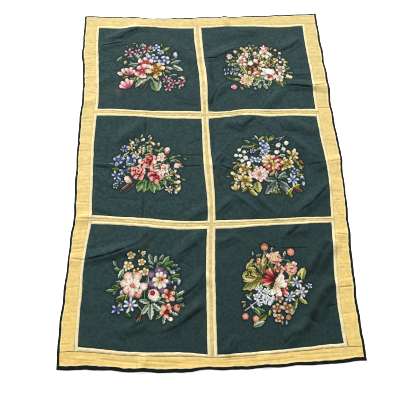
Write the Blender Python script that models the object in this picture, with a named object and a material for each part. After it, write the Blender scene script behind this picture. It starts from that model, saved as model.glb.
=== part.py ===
"""Needlework hanging, laid out flat and face up: six flower panels, cream edging, gold sashes and border,
dark binding. Metres, +Z up, +Y towards its top edge, underside on Z = 0, origin under the middle of its box.

The pieces are first set out on a true rectangle, as the maker cut them: u runs across and v up, both from the
middle of the six panels. lie() then moves every point to where the slack, handled cloth really lies, and
fold_height() lifts it over the folds. All pieces use the same two functions, so their seams keep an even gap.
"""

import functools

import bmesh
import bpy
import numpy as np

MM = 0.001

# Cut sizes of the pieces
PANEL = 0.500
EDGING = 0.013
SASH = 0.012
BORDER_SIDE = 0.055
BORDER_TOP = 0.052
BORDER_BOTTOM = 0.045
BINDING_SIDE = 0.010
BINDING_TOP = 0.008
BINDING_BOTTOM = 0.014
SEAM_GAP = 0.0003

# Divisions along one panel's side, and the turn from which an edge is drawn sharp
PANEL_STEPS = 14
SHARP_ANGLE = np.radians(40)

# Each cloth: thickness at a seam, thickness inside, colour and roughness
GREEN_WOOL = ("green needlework wool", 0.0024, 0.0027, (0.030, 0.058, 0.060), 0.95)
CREAM_CLOTH = ("cream edging cloth", 0.0020, 0.0032, (0.86, 0.75, 0.50), 0.85)
GOLD_CLOTH = ("gold border cloth", 0.0018, 0.0023, (0.78, 0.60, 0.24), 0.75)
DARK_CLOTH = ("dark binding cloth", 0.0018, 0.0018, (0.006, 0.010, 0.008), 0.9)

# The seam lines of the true rectangle
FRAMED = PANEL + 2 * EDGING
COLUMN_CENTRES = (-(SASH + FRAMED) / 2, (SASH + FRAMED) / 2)
ROW_CENTRES = (SASH + FRAMED, 0.0, -(SASH + FRAMED))
INNER_X = SASH / 2 + FRAMED
INNER_Y = 1.5 * FRAMED + SASH
GOLD_X = INNER_X + BORDER_SIDE
GOLD_TOP = INNER_Y + BORDER_TOP
GOLD_BOTTOM = -INNER_Y - BORDER_BOTTOM
RIM_X = GOLD_X + BINDING_SIDE
RIM_TOP = GOLD_TOP + BINDING_TOP
RIM_BOTTOM = GOLD_BOTTOM - BINDING_BOTTOM

# How far each upright line has slipped sideways in mm, + to the right, as seen down the cloth.
# Columns: height v, left rim, left panels' left and right edge, right panels' left and right edge, right rim
UPRIGHT_SLIP = (
    (864, -8, -9, -31, -30, 1, 0),
    (671, -9, -9, -24, -22, 0, 6),
    (573, -5, -2, -15, -16, 4, 8),
    (478, 5, 4, -8, -8, 8, 12),
    (370, 9, 10, -5, -7, 6, 12),
    (269, 7, 8, -3, -7, 7, 10),
    (150, 5, 4, -2, -5, 11, 16),
    (30, 8, 5, 0, 1, 20, 19),
    (-79, 9, 9, 6, 6, 22, 14),
    (-192, 14, 12, 12, 7, 14, 11),
    (-269, 15, 15, 8, 5, 9, 7),
    (-352, 9, 7, 2, 1, 2, 3),
    (-454, 6, -3, -3, -3, -6, -2),
    (-584, 0, -4, -5, -5, -13, -7),
    (-720, -5, -6, -7, -7, -13, -8),
    (-860, -4, 0, -8, -7, -7, -4),
)
UPRIGHT_LINES = (
    -RIM_X,
    COLUMN_CENTRES[0] - PANEL / 2,
    COLUMN_CENTRES[0] + PANEL / 2,
    COLUMN_CENTRES[1] - PANEL / 2,
    COLUMN_CENTRES[1] + PANEL / 2,
    RIM_X,
)

# How far each level line has slipped up or down in mm, + upwards, as seen across the cloth.
# Columns: place u, bottom rim, then the bottom and top edge of the bottom, middle and top panels, top rim
LEVEL_SLIP = (
    (-600, 10, 20, 14, 18, 13, 14, -6, 1),
    (-500, 8, 18, 16, 18, 13, 14, -6, -2),
    (-400, 3, 6, 10, 10, 11, 11, -8, -4),
    (-300, -4, -3, 2, 4, 6, 3, 3, -8),
    (-200, -9, -7, -9, -7, -3, 0, -2, -14),
    (-100, -9, -10, -14, -13, -6, -1, -8, -9),
    (0, -3, -20, -13, -12, -7, -4, -5, -6),
    (100, -6, -17, -11, -11, 1, -4, 1, -3),
    (200, -1, -12, -4, -10, 11, 8, 5, 0),
    (300, 2, -6, 0, -7, 3, 5, 5, 5),
    (400, 5, 2, 4, -3, 7, 7, 0, 10),
    (500, 9, 9, 7, -3, 2, 7, 8, 16),
    (600, 17, 10, 5, -3, 2, 7, 8, 22),
)
LEVEL_LINES = (
    RIM_BOTTOM,
    ROW_CENTRES[2] - PANEL / 2,
    ROW_CENTRES[2] + PANEL / 2,
    ROW_CENTRES[1] - PANEL / 2,
    ROW_CENTRES[1] + PANEL / 2,
    ROW_CENTRES[0] - PANEL / 2,
    ROW_CENTRES[0] + PANEL / 2,
    RIM_TOP,
)

# The small ripple that the binding's uneven pull gives the rims: its height, and two wave lengths
RIM_RIPPLE = 0.0010
RIPPLE_WAVES = (0.118, 0.193)

# The folds where the cloth stands off the floor, as it lies. A fold past the rim runs out over the edge.
# Columns, all in mm: from x, from y, to x, to y, width at its foot, height
FOLDS = (
    (-500, 690, -320, 800, 80, 7),
    (-530, 660, -400, 700, 70, 4),
    (-170, 700, -40, 560, 90, 5),
    (-530, 430, -430, 500, 80, 3),
    (15, 570, 25, 320, 70, 6),
    (30, 350, 110, 450, 70, 6),
    (5, 590, 190, 660, 90, 6),
    (50, 730, 300, 765, 90, 4),
    (380, 640, 500, 710, 80, 5),
    (390, 440, 650, 412, 75, 8),
    (270, 290, 390, 415, 90, 6),
    (430, 490, 530, 500, 70, 3),
    (-270, 250, -430, 110, 100, 6),
    (-510, -30, -400, -110, 80, 4),
    (-100, -255, 5, -190, 70, 5),
    (80, 230, 185, 195, 80, 7),
    (185, 195, 200, 262, 70, 5),
    (340, 240, 530, 165, 90, 6),
    (350, 150, 540, -20, 110, 7),
    (20, -15, 75, 60, 70, 7),
    (25, 15, 90, -30, 70, 6),
    (30, -240, 100, -160, 70, 5),
    (105, -130, 215, -250, 70, 5),
    (200, -140, 300, -260, 70, 5),
    (370, -250, 555, -90, 90, 7),
    (-535, -430, -280, -365, 80, 9),
    (-280, -380, -270, -290, 70, 6),
    (-160, -430, -15, -300, 80, 6),
    (-130, -600, -15, -490, 90, 7),
    (-200, -730, -30, -600, 80, 6),
    (-360, -715, -260, -690, 70, 5),
    (300, -330, 440, -300, 80, 5),
    (540, -350, 410, -500, 100, 9),
    (500, -520, 400, -690, 100, 9),
    (400, -690, 280, -770, 80, 6),
    (40, -810, 100, -740, 70, 5),
    (20, -370, 130, -335, 70, 4),
    (-640, 330, -520, 350, 70, 4),
    (-640, -250, -500, -240, 70, 4),
    (-640, -420, -535, -430, 70, 4),
    (520, 15, 660, 25, 70, 4),
    (520, -345, 650, -325, 70, 4),
    (100, 920, 125, 790, 70, 5),
    (-280, -910, -275, -800, 70, 4),
    (190, -910, 200, -800, 70, 4),
)


def soft_track(places, values, at):
    """Reads a smooth line that passes through (places, values), with the places rising."""
    slopes = np.gradient(values, places)
    k = int(np.clip(np.searchsorted(places, at) - 1, 0, len(places) - 2))
    span = places[k + 1] - places[k]
    t = np.clip((at - places[k]) / span, 0, 1)
    before = values[k] + t * span * slopes[k]
    after = values[k + 1] - (1 - t) * span * slopes[k + 1]
    return before + (after - before) * t * t * (3 - 2 * t)


@functools.cache
def slips(table, at):
    """The slip in metres of every line of a table, at this place along them."""
    rows = np.array(sorted(table)) * MM
    return [soft_track(rows[:, 0], column, at) for column in rows[:, 1:].T]


def ripple(along):
    return RIM_RIPPLE * sum(np.sin(2 * np.pi * along / wave) for wave in RIPPLE_WAVES)


def lie(u, v):
    """Where the point (u, v) of the true rectangle lies on the floor."""
    x = u + np.interp(u, UPRIGHT_LINES, slips(UPRIGHT_SLIP, v))
    y = v + np.interp(v, LEVEL_LINES, slips(LEVEL_SLIP, u))
    x += np.interp(abs(u), (INNER_X, GOLD_X), (0, 1)) * np.sign(u) * ripple(v)
    y += np.interp(abs(v), (INNER_Y, GOLD_TOP), (0, 1)) * np.sign(v) * ripple(u)
    return x, y


def fold_height(x, y):
    """How high the underside stands at (x, y): each fold is a soft ridge that dies away at both ends."""
    folds = np.array(FOLDS) * MM
    start, along = folds[:, :2], folds[:, 2:4] - folds[:, :2]
    width, rise = folds[:, 4], folds[:, 5]
    away = (x, y) - start
    t = np.clip((away * along).sum(axis=1) / (along**2).sum(axis=1), 0, 1)
    aside = np.linalg.norm(away - t[:, None] * along, axis=1)
    ridge = 0.5 + 0.5 * np.cos(np.pi * np.minimum(aside / (width / 2), 1))
    return (rise * ridge * (1 - (2 * t - 1) ** 4)).max()


def ladder(centres, border):
    """Every place where a seam crosses, with the panels' divisions between and the border's middle line."""
    places = list(border)
    for centre in centres:
        places += [centre - FRAMED / 2, centre + FRAMED / 2]
        places += [centre + PANEL * (k / PANEL_STEPS - 0.5) for k in range(PANEL_STEPS + 1)]
    return sorted(places)


MID_X, MID_TOP, MID_BOTTOM = (INNER_X + GOLD_X) / 2, (INNER_Y + GOLD_TOP) / 2, (GOLD_BOTTOM - INNER_Y) / 2
ACROSS = ladder(COLUMN_CENTRES, (-RIM_X, -GOLD_X, -MID_X, MID_X, GOLD_X, RIM_X))
UP = ladder(ROW_CENTRES, (RIM_BOTTOM, GOLD_BOTTOM, MID_BOTTOM, MID_TOP, GOLD_TOP, RIM_TOP))


def stations(places, start, end):
    """The places from start to end, with one in the middle of a strip that has none inside."""
    inside = [place for place in places if start + SEAM_GAP < place < end - SEAM_GAP]
    return [start + SEAM_GAP / 2, *(inside or [(start + end) / 2]), end - SEAM_GAP / 2]


def cloth_material(cloth):
    name, _, _, colour, roughness = cloth
    material = bpy.data.materials.get(name) or bpy.data.materials.new(name)
    material.use_nodes = True
    shader = material.node_tree.nodes["Principled BSDF"]
    shader.inputs["Base Color"].default_value = (*colour, 1)
    shader.inputs["Roughness"].default_value = roughness
    shader.inputs["Metallic"].default_value = 0
    return material


def middle_of_box():
    """The middle of the box round the lying cloth, from its rims."""
    xs = [lie(u, v)[0] for u in (-RIM_X, RIM_X) for v in UP]
    ys = [lie(u, v)[1] for u in ACROSS for v in (RIM_BOTTOM, RIM_TOP)]
    return (min(xs) + max(xs)) / 2, (min(ys) + max(ys)) / 2


def lay_out(mesh, us, vs, thin, thick):
    """A sheet of faces over the folds, as seen from above, with the thickness that each corner is to get."""
    pile = mesh.verts.layers.float.new("thickness")
    middle_x, middle_y = middle_of_box()
    width, height = us[-1] - us[0], vs[-1] - vs[0]
    grid = []
    for v in vs:
        row = []
        for u in us:
            x, y = lie(u, v)
            vert = mesh.verts.new((x - middle_x, y - middle_y, fold_height(x, y)))
            on_side = u in (us[0], us[-1]) and width < height + SEAM_GAP
            on_end = v in (vs[0], vs[-1]) and height < width + SEAM_GAP
            vert[pile] = thin if on_side or on_end else thick
            row.append(vert)
        grid.append(row)
    for low, high in zip(grid, grid[1:]):
        for k in range(len(us) - 1):
            mesh.faces.new((low[k], low[k + 1], high[k + 1], high[k]))
    return pile


def add_piece(name, left, right, bottom, top, cloth):
    """One cut piece of the true rectangle, laid over the folds and given its thickness upwards."""
    _, thin, thick, _, _ = cloth
    mesh = bmesh.new()
    pile = lay_out(mesh, stations(ACROSS, left, right), stations(UP, bottom, top), thin, thick)
    raised = bmesh.ops.extrude_face_region(mesh, geom=mesh.faces[:])["geom"]
    for vert in (part for part in raised if isinstance(part, bmesh.types.BMVert)):
        vert.co.z += vert[pile]
    bmesh.ops.recalc_face_normals(mesh, faces=mesh.faces)
    data = bpy.data.meshes.new(name)
    mesh.to_mesh(data)
    mesh.free()
    data.materials.append(cloth_material(cloth))
    data.shade_smooth()
    data.set_sharp_from_angle(angle=SHARP_ANGLE)
    bpy.context.collection.objects.link(bpy.data.objects.new(name, data))


def add_panels_and_edging():
    half, outer = PANEL / 2, FRAMED / 2
    for row, y in enumerate(ROW_CENTRES, 1):
        for column, x in enumerate(COLUMN_CENTRES, 1):
            place = f"r{row}c{column}"
            add_piece(f"panel_{place}", x - half, x + half, y - half, y + half, GREEN_WOOL)
            add_piece(f"edging_{place}_left", x - outer, x - half, y - outer, y + outer, CREAM_CLOTH)
            add_piece(f"edging_{place}_right", x + half, x + outer, y - outer, y + outer, CREAM_CLOTH)
            add_piece(f"edging_{place}_bottom", x - half, x + half, y - outer, y - half, CREAM_CLOTH)
            add_piece(f"edging_{place}_top", x - half, x + half, y + half, y + outer, CREAM_CLOTH)


def add_sashes():
    add_piece("sash_upright", -SASH / 2, SASH / 2, -INNER_Y, INNER_Y, GOLD_CLOTH)
    for name, centre in (("upper", ROW_CENTRES[0]), ("lower", ROW_CENTRES[1])):
        top = centre - FRAMED / 2
        add_piece(f"sash_{name}_left", -INNER_X, -SASH / 2, top - SASH, top, GOLD_CLOTH)
        add_piece(f"sash_{name}_right", SASH / 2, INNER_X, top - SASH, top, GOLD_CLOTH)


def add_border_and_binding():
    add_piece("border_left", -GOLD_X, -INNER_X, -INNER_Y, INNER_Y, GOLD_CLOTH)
    add_piece("border_right", INNER_X, GOLD_X, -INNER_Y, INNER_Y, GOLD_CLOTH)
    add_piece("border_bottom", -GOLD_X, GOLD_X, GOLD_BOTTOM, -INNER_Y, GOLD_CLOTH)
    add_piece("border_top", -GOLD_X, GOLD_X, INNER_Y, GOLD_TOP, GOLD_CLOTH)
    add_piece("binding_left", -RIM_X, -GOLD_X, GOLD_BOTTOM, GOLD_TOP, DARK_CLOTH)
    add_piece("binding_right", GOLD_X, RIM_X, GOLD_BOTTOM, GOLD_TOP, DARK_CLOTH)
    add_piece("binding_bottom", -RIM_X, RIM_X, RIM_BOTTOM, GOLD_BOTTOM, DARK_CLOTH)
    add_piece("binding_top", -RIM_X, RIM_X, GOLD_TOP, RIM_TOP, DARK_CLOTH)


for left_over in list(bpy.data.objects):
    bpy.data.objects.remove(left_over)
add_panels_and_edging()
add_sashes()
add_border_and_binding()
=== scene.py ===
"""Needlework hanging, laid out flat on a pale floor: the looks of its forty-three cloth pieces.

Every piece is a thin closed sheet of its own. It is set out on the true rectangle that the maker cut, u across and
v up, and then moved to where the slack cloth lies. Metres, +Z up, +Y towards the top edge of the hanging.
"""

import bpy
import numpy as np
from mathutils import Matrix, Vector


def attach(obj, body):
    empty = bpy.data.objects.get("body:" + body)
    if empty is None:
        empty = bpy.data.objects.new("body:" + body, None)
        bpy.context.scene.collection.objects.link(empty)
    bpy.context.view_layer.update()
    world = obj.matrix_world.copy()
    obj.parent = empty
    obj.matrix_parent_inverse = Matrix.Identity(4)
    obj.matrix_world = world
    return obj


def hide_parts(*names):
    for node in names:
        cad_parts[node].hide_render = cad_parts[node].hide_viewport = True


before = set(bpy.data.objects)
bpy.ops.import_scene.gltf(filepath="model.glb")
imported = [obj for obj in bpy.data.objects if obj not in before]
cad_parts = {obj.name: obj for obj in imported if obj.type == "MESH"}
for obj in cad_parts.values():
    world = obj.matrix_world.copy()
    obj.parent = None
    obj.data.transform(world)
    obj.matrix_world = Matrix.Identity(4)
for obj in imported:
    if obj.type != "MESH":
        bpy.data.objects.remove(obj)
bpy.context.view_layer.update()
MM = 0.001

# The camera stands at the bottom edge of the hanging and looks down and up along it, as in the photograph.
# Its height, place and three turns were found from the corners of the six panels.
camera = bpy.data.objects.new("camera", bpy.data.cameras.new("camera"))
bpy.context.scene.collection.objects.link(camera)
bpy.context.scene.camera = camera
camera.data.sensor_width = 36
camera.data.lens = 40.5
CAMERA_PLACE = (-0.11625, -0.89563, 1.83005)
SIDEWAYS, TILTED, ROLLED = np.radians((-2.24275, 21.52423, -1.56375))
turn = Matrix.Rotation(SIDEWAYS, 4, "Y") @ Matrix.Rotation(TILTED, 4, "X") @ Matrix.Rotation(ROLLED, 4, "Z")
camera.matrix_world = Matrix.Translation(CAMERA_PLACE) @ turn

# Needlework panels: six canvas squares covered in wool stitches, dark green with a bouquet each. The handled cloth
# has slipped out of true and stands off the floor in soft folds, and all other pieces lie as the panels do.
PANEL = 0.500
EDGING = 0.013
SASH = 0.012
BORDER_SIDE, BORDER_TOP, BORDER_BOTTOM = 0.055, 0.052, 0.045
BINDING_SIDE, BINDING_TOP, BINDING_BOTTOM = 0.010, 0.008, 0.014
SEAM_GAP = 0.0002
FRAMED = PANEL + 2 * EDGING
COLUMN_CENTRES = (-(SASH + FRAMED) / 2, (SASH + FRAMED) / 2)
ROW_CENTRES = (SASH + FRAMED, 0.0, -(SASH + FRAMED))
INNER_X = SASH / 2 + FRAMED
INNER_Y = 1.5 * FRAMED + SASH
GOLD_X = INNER_X + BORDER_SIDE
GOLD_TOP = INNER_Y + BORDER_TOP
GOLD_BOTTOM = -INNER_Y - BORDER_BOTTOM
RIM_X = GOLD_X + BINDING_SIDE
RIM_TOP = GOLD_TOP + BINDING_TOP
RIM_BOTTOM = GOLD_BOTTOM - BINDING_BOTTOM
BOX_MIDDLE = np.array((5.362, 6.681)) * MM

# How far each upright line has slipped sideways in mm, + to the right, as seen down the cloth.
# Columns: height v, left rim, left panels' left and right edge, right panels' left and right edge, right rim
UPRIGHT_SLIP = (
    (864, -8, -9, -31, -30, 1, 0),
    (671, -9, -9, -24, -22, 0, 6),
    (573, -5, -2, -15, -16, 4, 8),
    (478, 5, 4, -8, -8, 8, 12),
    (370, 9, 10, -5, -7, 6, 12),
    (269, 7, 8, -3, -7, 7, 10),
    (150, 5, 4, -2, -5, 11, 16),
    (30, 8, 5, 0, 1, 20, 19),
    (-79, 9, 9, 6, 6, 22, 14),
    (-192, 14, 12, 12, 7, 14, 11),
    (-269, 15, 15, 8, 5, 9, 7),
    (-352, 9, 7, 2, 1, 2, 3),
    (-454, 6, -3, -3, -3, -6, -2),
    (-584, 0, -4, -5, -5, -13, -7),
    (-720, -5, -6, -7, -7, -13, -8),
    (-860, -4, 0, -8, -7, -7, -4),
)
UPRIGHT_LINES = (
    -RIM_X,
    COLUMN_CENTRES[0] - PANEL / 2,
    COLUMN_CENTRES[0] + PANEL / 2,
    COLUMN_CENTRES[1] - PANEL / 2,
    COLUMN_CENTRES[1] + PANEL / 2,
    RIM_X,
)

# How far each level line has slipped up or down in mm, + upwards, as seen across the cloth.
# Columns: place u, bottom rim, then the bottom and top edge of the bottom, middle and top panels, top rim
LEVEL_SLIP = (
    (-600, 10, 20, 14, 18, 13, 14, -6, 1),
    (-500, 8, 18, 16, 18, 13, 14, -6, -2),
    (-400, 3, 6, 10, 10, 11, 11, -8, -4),
    (-300, -4, -3, 2, 4, 6, 3, 3, -8),
    (-200, -9, -7, -9, -7, -3, 0, -2, -14),
    (-100, -9, -10, -14, -13, -6, -1, -8, -9),
    (0, -3, -20, -13, -12, -7, -4, -5, -6),
    (100, -6, -17, -11, -11, 1, -4, 1, -3),
    (200, -1, -12, -4, -10, 11, 8, 5, 0),
    (300, 2, -6, 0, -7, 3, 5, 5, 5),
    (400, 5, 2, 4, -3, 7, 7, 0, 10),
    (500, 9, 9, 7, -3, 2, 7, 8, 16),
    (600, 17, 10, 5, -3, 2, 7, 8, 22),
)
LEVEL_LINES = (
    RIM_BOTTOM,
    ROW_CENTRES[2] - PANEL / 2,
    ROW_CENTRES[2] + PANEL / 2,
    ROW_CENTRES[1] - PANEL / 2,
    ROW_CENTRES[1] + PANEL / 2,
    ROW_CENTRES[0] - PANEL / 2,
    ROW_CENTRES[0] + PANEL / 2,
    RIM_TOP,
)
RIM_RIPPLE = 0.0010
RIPPLE_WAVES = (0.118, 0.193)

# The folds where the cloth stands off the floor, as it lies, from the middle of the six panels.
# Columns, all in mm: from x, from y, to x, to y, width at its foot, height
FOLDS = (
    (-500, 690, -320, 800, 80, 7),
    (-530, 660, -400, 700, 70, 4),
    (-170, 700, -40, 560, 90, 5),
    (-530, 430, -430, 500, 80, 3),
    (15, 570, 25, 320, 70, 6),
    (30, 350, 110, 450, 70, 6),
    (5, 590, 190, 660, 90, 6),
    (50, 730, 300, 765, 90, 4),
    (380, 640, 500, 710, 80, 5),
    (390, 440, 650, 412, 75, 8),
    (270, 290, 390, 415, 90, 6),
    (430, 490, 530, 500, 70, 3),
    (-270, 250, -430, 110, 100, 6),
    (-510, -30, -400, -110, 80, 4),
    (-100, -255, 5, -190, 70, 5),
    (80, 230, 185, 195, 80, 7),
    (185, 195, 200, 262, 70, 5),
    (340, 240, 530, 165, 90, 6),
    (350, 150, 540, -20, 110, 7),
    (20, -15, 75, 60, 70, 7),
    (25, 15, 90, -30, 70, 6),
    (30, -240, 100, -160, 70, 5),
    (105, -130, 215, -250, 70, 5),
    (200, -140, 300, -260, 70, 5),
    (370, -250, 555, -90, 90, 7),
    (-535, -430, -280, -365, 80, 9),
    (-280, -380, -270, -290, 70, 6),
    (-160, -430, -15, -300, 80, 6),
    (-130, -600, -15, -490, 90, 7),
    (-200, -730, -30, -600, 80, 6),
    (-360, -715, -260, -690, 70, 5),
    (300, -330, 440, -300, 80, 5),
    (540, -350, 410, -500, 100, 9),
    (500, -520, 400, -690, 100, 9),
    (400, -690, 280, -770, 80, 6),
    (40, -810, 100, -740, 70, 5),
    (20, -370, 130, -335, 70, 4),
    (-640, 330, -520, 350, 70, 4),
    (-640, -250, -500, -240, 70, 4),
    (-640, -420, -535, -430, 70, 4),
    (520, 15, 660, 25, 70, 4),
    (520, -345, 650, -325, 70, 4),
    (100, 920, 125, 790, 70, 5),
    (-280, -910, -275, -800, 70, 4),
    (190, -910, 200, -800, 70, 4),
)

# The sharper creases that pressing and handling left. Same columns; a height below nought is a trough.
CREASES = (
    (-513, 2, -431, -11, 16, -2.2),
    (-431, -11, -345, -16, 16, -1.8),
    (-115, -6, -20, -2, 14, -1.6),
    (-520, 16, -430, 6, 18, 0.9),
    (-281, 262, -285, 155, 16, -1.5),
    (-268, 262, -271, 150, 14, 0.6),
    (-285, -136, -287, -258, 14, -1.6),
    (-274, -140, -276, -262, 14, 0.6),
    (-453, 150, -455, 30, 12, -1.1),
    (-444, -151, -270, -167, 14, -1.0),
    (-300, -166, -145, -168, 12, -0.7),
    (-505, -209, -405, -234, 22, -1.3),
    (-499, -20, -425, -76, 24, -1.1),
    (-500, -106, -445, -140, 20, -1.1),
    (-118, 49, -22, 52, 16, -1.1),
    (-95, 104, -25, 132, 18, -0.7),
    (-150, -180, -60, -230, 30, -0.6),
    (-364, 190, -420, 100, 34, 1.1),
    (-488, 704, -400, 722, 14, -1.6),
    (-408, 722, -386, 748, 14, -1.3),
    (-392, 744, -322, 781, 18, -1.7),
    (-490, 712, -386, 768, 14, 1.3),
    (-512, 675, -395, 702, 12, 1.1),
    (-512, 668, -395, 694, 12, -1.0),
    (-340, 768, -250, 752, 40, -0.7),
    (-276, 400, -274, 305, 12, -0.7),
    (-180, 380, -80, 340, 16, -0.8),
    (-145, 330, -25, 312, 34, -1.1),
    (-140, 672, -85, 630, 16, -0.9),
    (-85, 630, -52, 590, 16, -0.8),
    (-530, 560, -440, 590, 16, 0.8),
    (-510, 645, -455, 622, 14, -0.8),
    (-520, 520, -450, 500, 14, -0.7),
    (5, 592, 74, 593, 14, -2.0),
    (68, 597, 172, 656, 26, -1.4),
    (30, 735, 145, 742, 50, -0.8),
    (160, 762, 290, 748, 26, -1.0),
    (34, 575, 36, 440, 30, -1.2),
    (104, 452, 62, 418, 18, -2.0),
    (66, 424, 35, 352, 18, -2.4),
    (38, 362, 20, 300, 20, -2.4),
    (16, 450, 14, 300, 30, -1.3),
    (384, 634, 445, 658, 24, -1.4),
    (440, 654, 498, 712, 26, -1.4),
    (425, 483, 525, 493, 12, -1.2),
    (400, 426, 460, 427, 16, -2.0),
    (450, 424, 528, 416, 22, -2.6),
    (400, 398, 466, 390, 22, -1.1),
    (410, 456, 530, 446, 22, 1.3),
    (330, 402, 312, 366, 14, -1.4),
    (312, 370, 262, 306, 16, -1.3),
    (270, 392, 200, 352, 24, -0.8),
    (60, 640, 175, 690, 30, 1.0),
    (400, 610, 500, 680, 24, 1.0),
    (440, 560, 520, 600, 14, -0.6),
    (236, 228, 308, 162, 10, -1.3),
    (140, 218, 166, 190, 20, -1.8),
    (164, 190, 240, 254, 30, -2.0),
    (110, 262, 180, 256, 20, -0.8),
    (350, 216, 358, 172, 14, -1.1),
    (356, 176, 446, 172, 14, -1.5),
    (446, 236, 510, 196, 18, -1.0),
    (28, 240, 31, 60, 12, -1.2),
    (26, 4, 72, 60, 16, -2.2),
    (50, 0, 112, -26, 16, -2.2),
    (40, -40, 66, -120, 24, -1.3),
    (31, -60, 33, -250, 12, -1.0),
    (64, 70, 150, 160, 24, 0.9),
    (60, -30, 110, -90, 20, 0.9),
    (92, -134, 232, -254, 24, -1.3),
    (196, -160, 290, -248, 22, -1.3),
    (130, -140, 225, -235, 16, 0.7),
    (36, -236, 92, -184, 18, -1.6),
    (352, 152, 405, 108, 46, -1.5),
    (400, 112, 460, 52, 46, -1.5),
    (455, 58, 530, 22, 40, -1.2),
    (396, -226, 460, -186, 16, -2.2),
    (456, -190, 534, -104, 18, -2.4),
    (455, -2, 534, 7, 16, -1.3),
    (470, -50, 540, -30, 40, -0.9),
    (-514, -427, -430, -409, 18, -2.4),
    (-438, -411, -350, -380, 18, -2.4),
    (-358, -382, -292, -355, 20, -2.0),
    (-300, -362, -262, -318, 30, -1.5),
    (-520, -366, -400, -335, 26, 1.0),
    (-215, -310, -262, -366, 20, -0.8),
    (-175, -318, -222, -380, 18, -0.8),
    (-150, -392, -58, -306, 24, 1.0),
    (-134, -418, -55, -368, 18, -1.1),
    (-142, -428, -64, -476, 14, -1.0),
    (-120, -590, -46, -530, 18, -2.2),
    (-50, -534, -26, -488, 20, -1.9),
    (-262, -728, -190, -724, 16, -1.0),
    (-200, -726, -134, -700, 20, -1.6),
    (-140, -704, -28, -626, 22, -1.7),
    (-120, -668, -40, -608, 22, 0.9),
    (-334, -708, -268, -678, 26, -1.6),
    (-392, -712, -340, -756, 20, -0.9),
    (-30, -650, -80, -780, 18, -0.7),
    (-530, -620, -480, -650, 30, -0.6),
    (506, -366, 468, -406, 40, -2.1),
    (472, -400, 418, -490, 46, -2.1),
    (426, -484, 384, -526, 36, -1.5),
    (478, -352, 430, -410, 24, 1.1),
    (506, -552, 455, -588, 48, -1.9),
    (460, -584, 418, -640, 54, -2.0),
    (424, -632, 386, -706, 54, -2.1),
    (392, -700, 358, -734, 46, -1.8),
    (368, -732, 300, -746, 34, -1.4),
    (308, -742, 276, -776, 16, -1.6),
    (452, -638, 504, -630, 12, -1.2),
    (324, -340, 390, -290, 28, -2.4),
    (350, -308, 440, -290, 18, -0.9),
    (196, -372, 290, -392, 14, -1.4),
    (284, -391, 418, -391, 14, -1.4),
    (38, -374, 110, -340, 14, -1.6),
    (60, -325, 240, -310, 18, -0.6),
    (56, -790, 84, -752, 20, -1.4),
    (60, -730, 110, -780, 16, 0.7),
    (528, 424, 604, 438, 12, -1.7),
    (535, 299, 604, 301, 9, -1.2),
    (545, 128, 602, 118, 10, -0.6),
    (548, 12, 620, 22, 10, -0.9),
    (550, -176, 602, -172, 9, -0.6),
    (545, -247, 600, -243, 9, -0.6),
    (540, -329, 600, -338, 9, -1.6),
    (530, -462, 588, -466, 9, -0.5),
    (515, -560, 584, -555, 9, -1.7),
    (515, -666, 582, -660, 9, -0.5),
    (-602, 590, -552, 588, 9, -0.5),
    (-600, 630, -552, 614, 9, -0.7),
    (-602, 500, -550, 503, 8, -0.4),
    (-600, 470, -548, 477, 9, -0.7),
    (-597, 420, -545, 424, 9, -0.5),
    (-592, 332, -540, 335, 9, -0.7),
    (-590, 245, -535, 252, 9, -0.9),
    (-588, 160, -530, 158, 9, -0.4),
    (-590, 75, -535, 84, 9, -0.7),
    (-570, -168, -512, -175, 9, -0.7),
    (-564, -243, -498, -248, 10, -1.5),
    (-577, -380, -518, -372, 9, -0.8),
    (-577, -420, -512, -429, 10, -1.5),
    (-587, -540, -530, -535, 8, -0.5),
    (-597, -760, -545, -756, 9, -0.7),
    (-298, -820, -295, -858, 9, -1.0),
    (-600, -806, -420, -826, 8, -0.6),
    (-460, -812, -250, -838, 9, -0.7),
    (-300, -822, -60, -842, 8, -0.7),
    (20, -830, 200, -822, 8, -0.6),
    (150, -840, 330, -826, 8, -0.6),
    (300, -818, 560, -812, 8, -0.6),
)


def soft_track(places, values, at):
    """A smooth line through (places, values): between two of them it eases from one tangent to the next."""
    slopes = np.gradient(values, places)
    k = np.clip(np.searchsorted(places, at) - 1, 0, len(places) - 2)
    span = places[k + 1] - places[k]
    t = np.clip((at - places[k]) / span, 0, 1)
    before = values[k] + t * span * slopes[k]
    after = values[k + 1] - (1 - t) * span * slopes[k + 1]
    return before + (after - before) * t * t * (3 - 2 * t)


def slips(table, lines, at, across):
    """The slip at every place of a grid: each line's own smooth track, shared out straight between the lines."""
    rows = np.array(sorted(table)) * MM
    tracks = np.stack([soft_track(rows[:, 0], column, at) for column in rows[:, 1:].T], axis=1)
    return tracks @ np.stack([np.interp(across, lines, share) for share in np.eye(len(lines))])


def waves(x, y, seed, count, shortest, longest):
    """A smooth uneven field of about -1 to 1: the sum of a few sine waves with their own lengths and ways."""
    draw = np.random.default_rng(seed)
    field = np.zeros(np.broadcast(x, y).shape)
    for _ in range(count):
        way, length, start = draw.uniform(0, np.pi), draw.uniform(shortest, longest), draw.uniform(0, 2 * np.pi)
        field += np.sin(2 * np.pi * (x * np.cos(way) + y * np.sin(way)) / length + start)
    return field * np.sqrt(2 / count) / 2


def ripple(along):
    """How far a rim stands out: a sine wave of each of the two lengths, added up."""
    return RIM_RIPPLE * sum(np.sin(2 * np.pi * along / wave) for wave in RIPPLE_WAVES)


EDGE_WANDER = 0.0007
HEM_WANDER = 0.0011
HEM_REACH = 0.004


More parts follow.
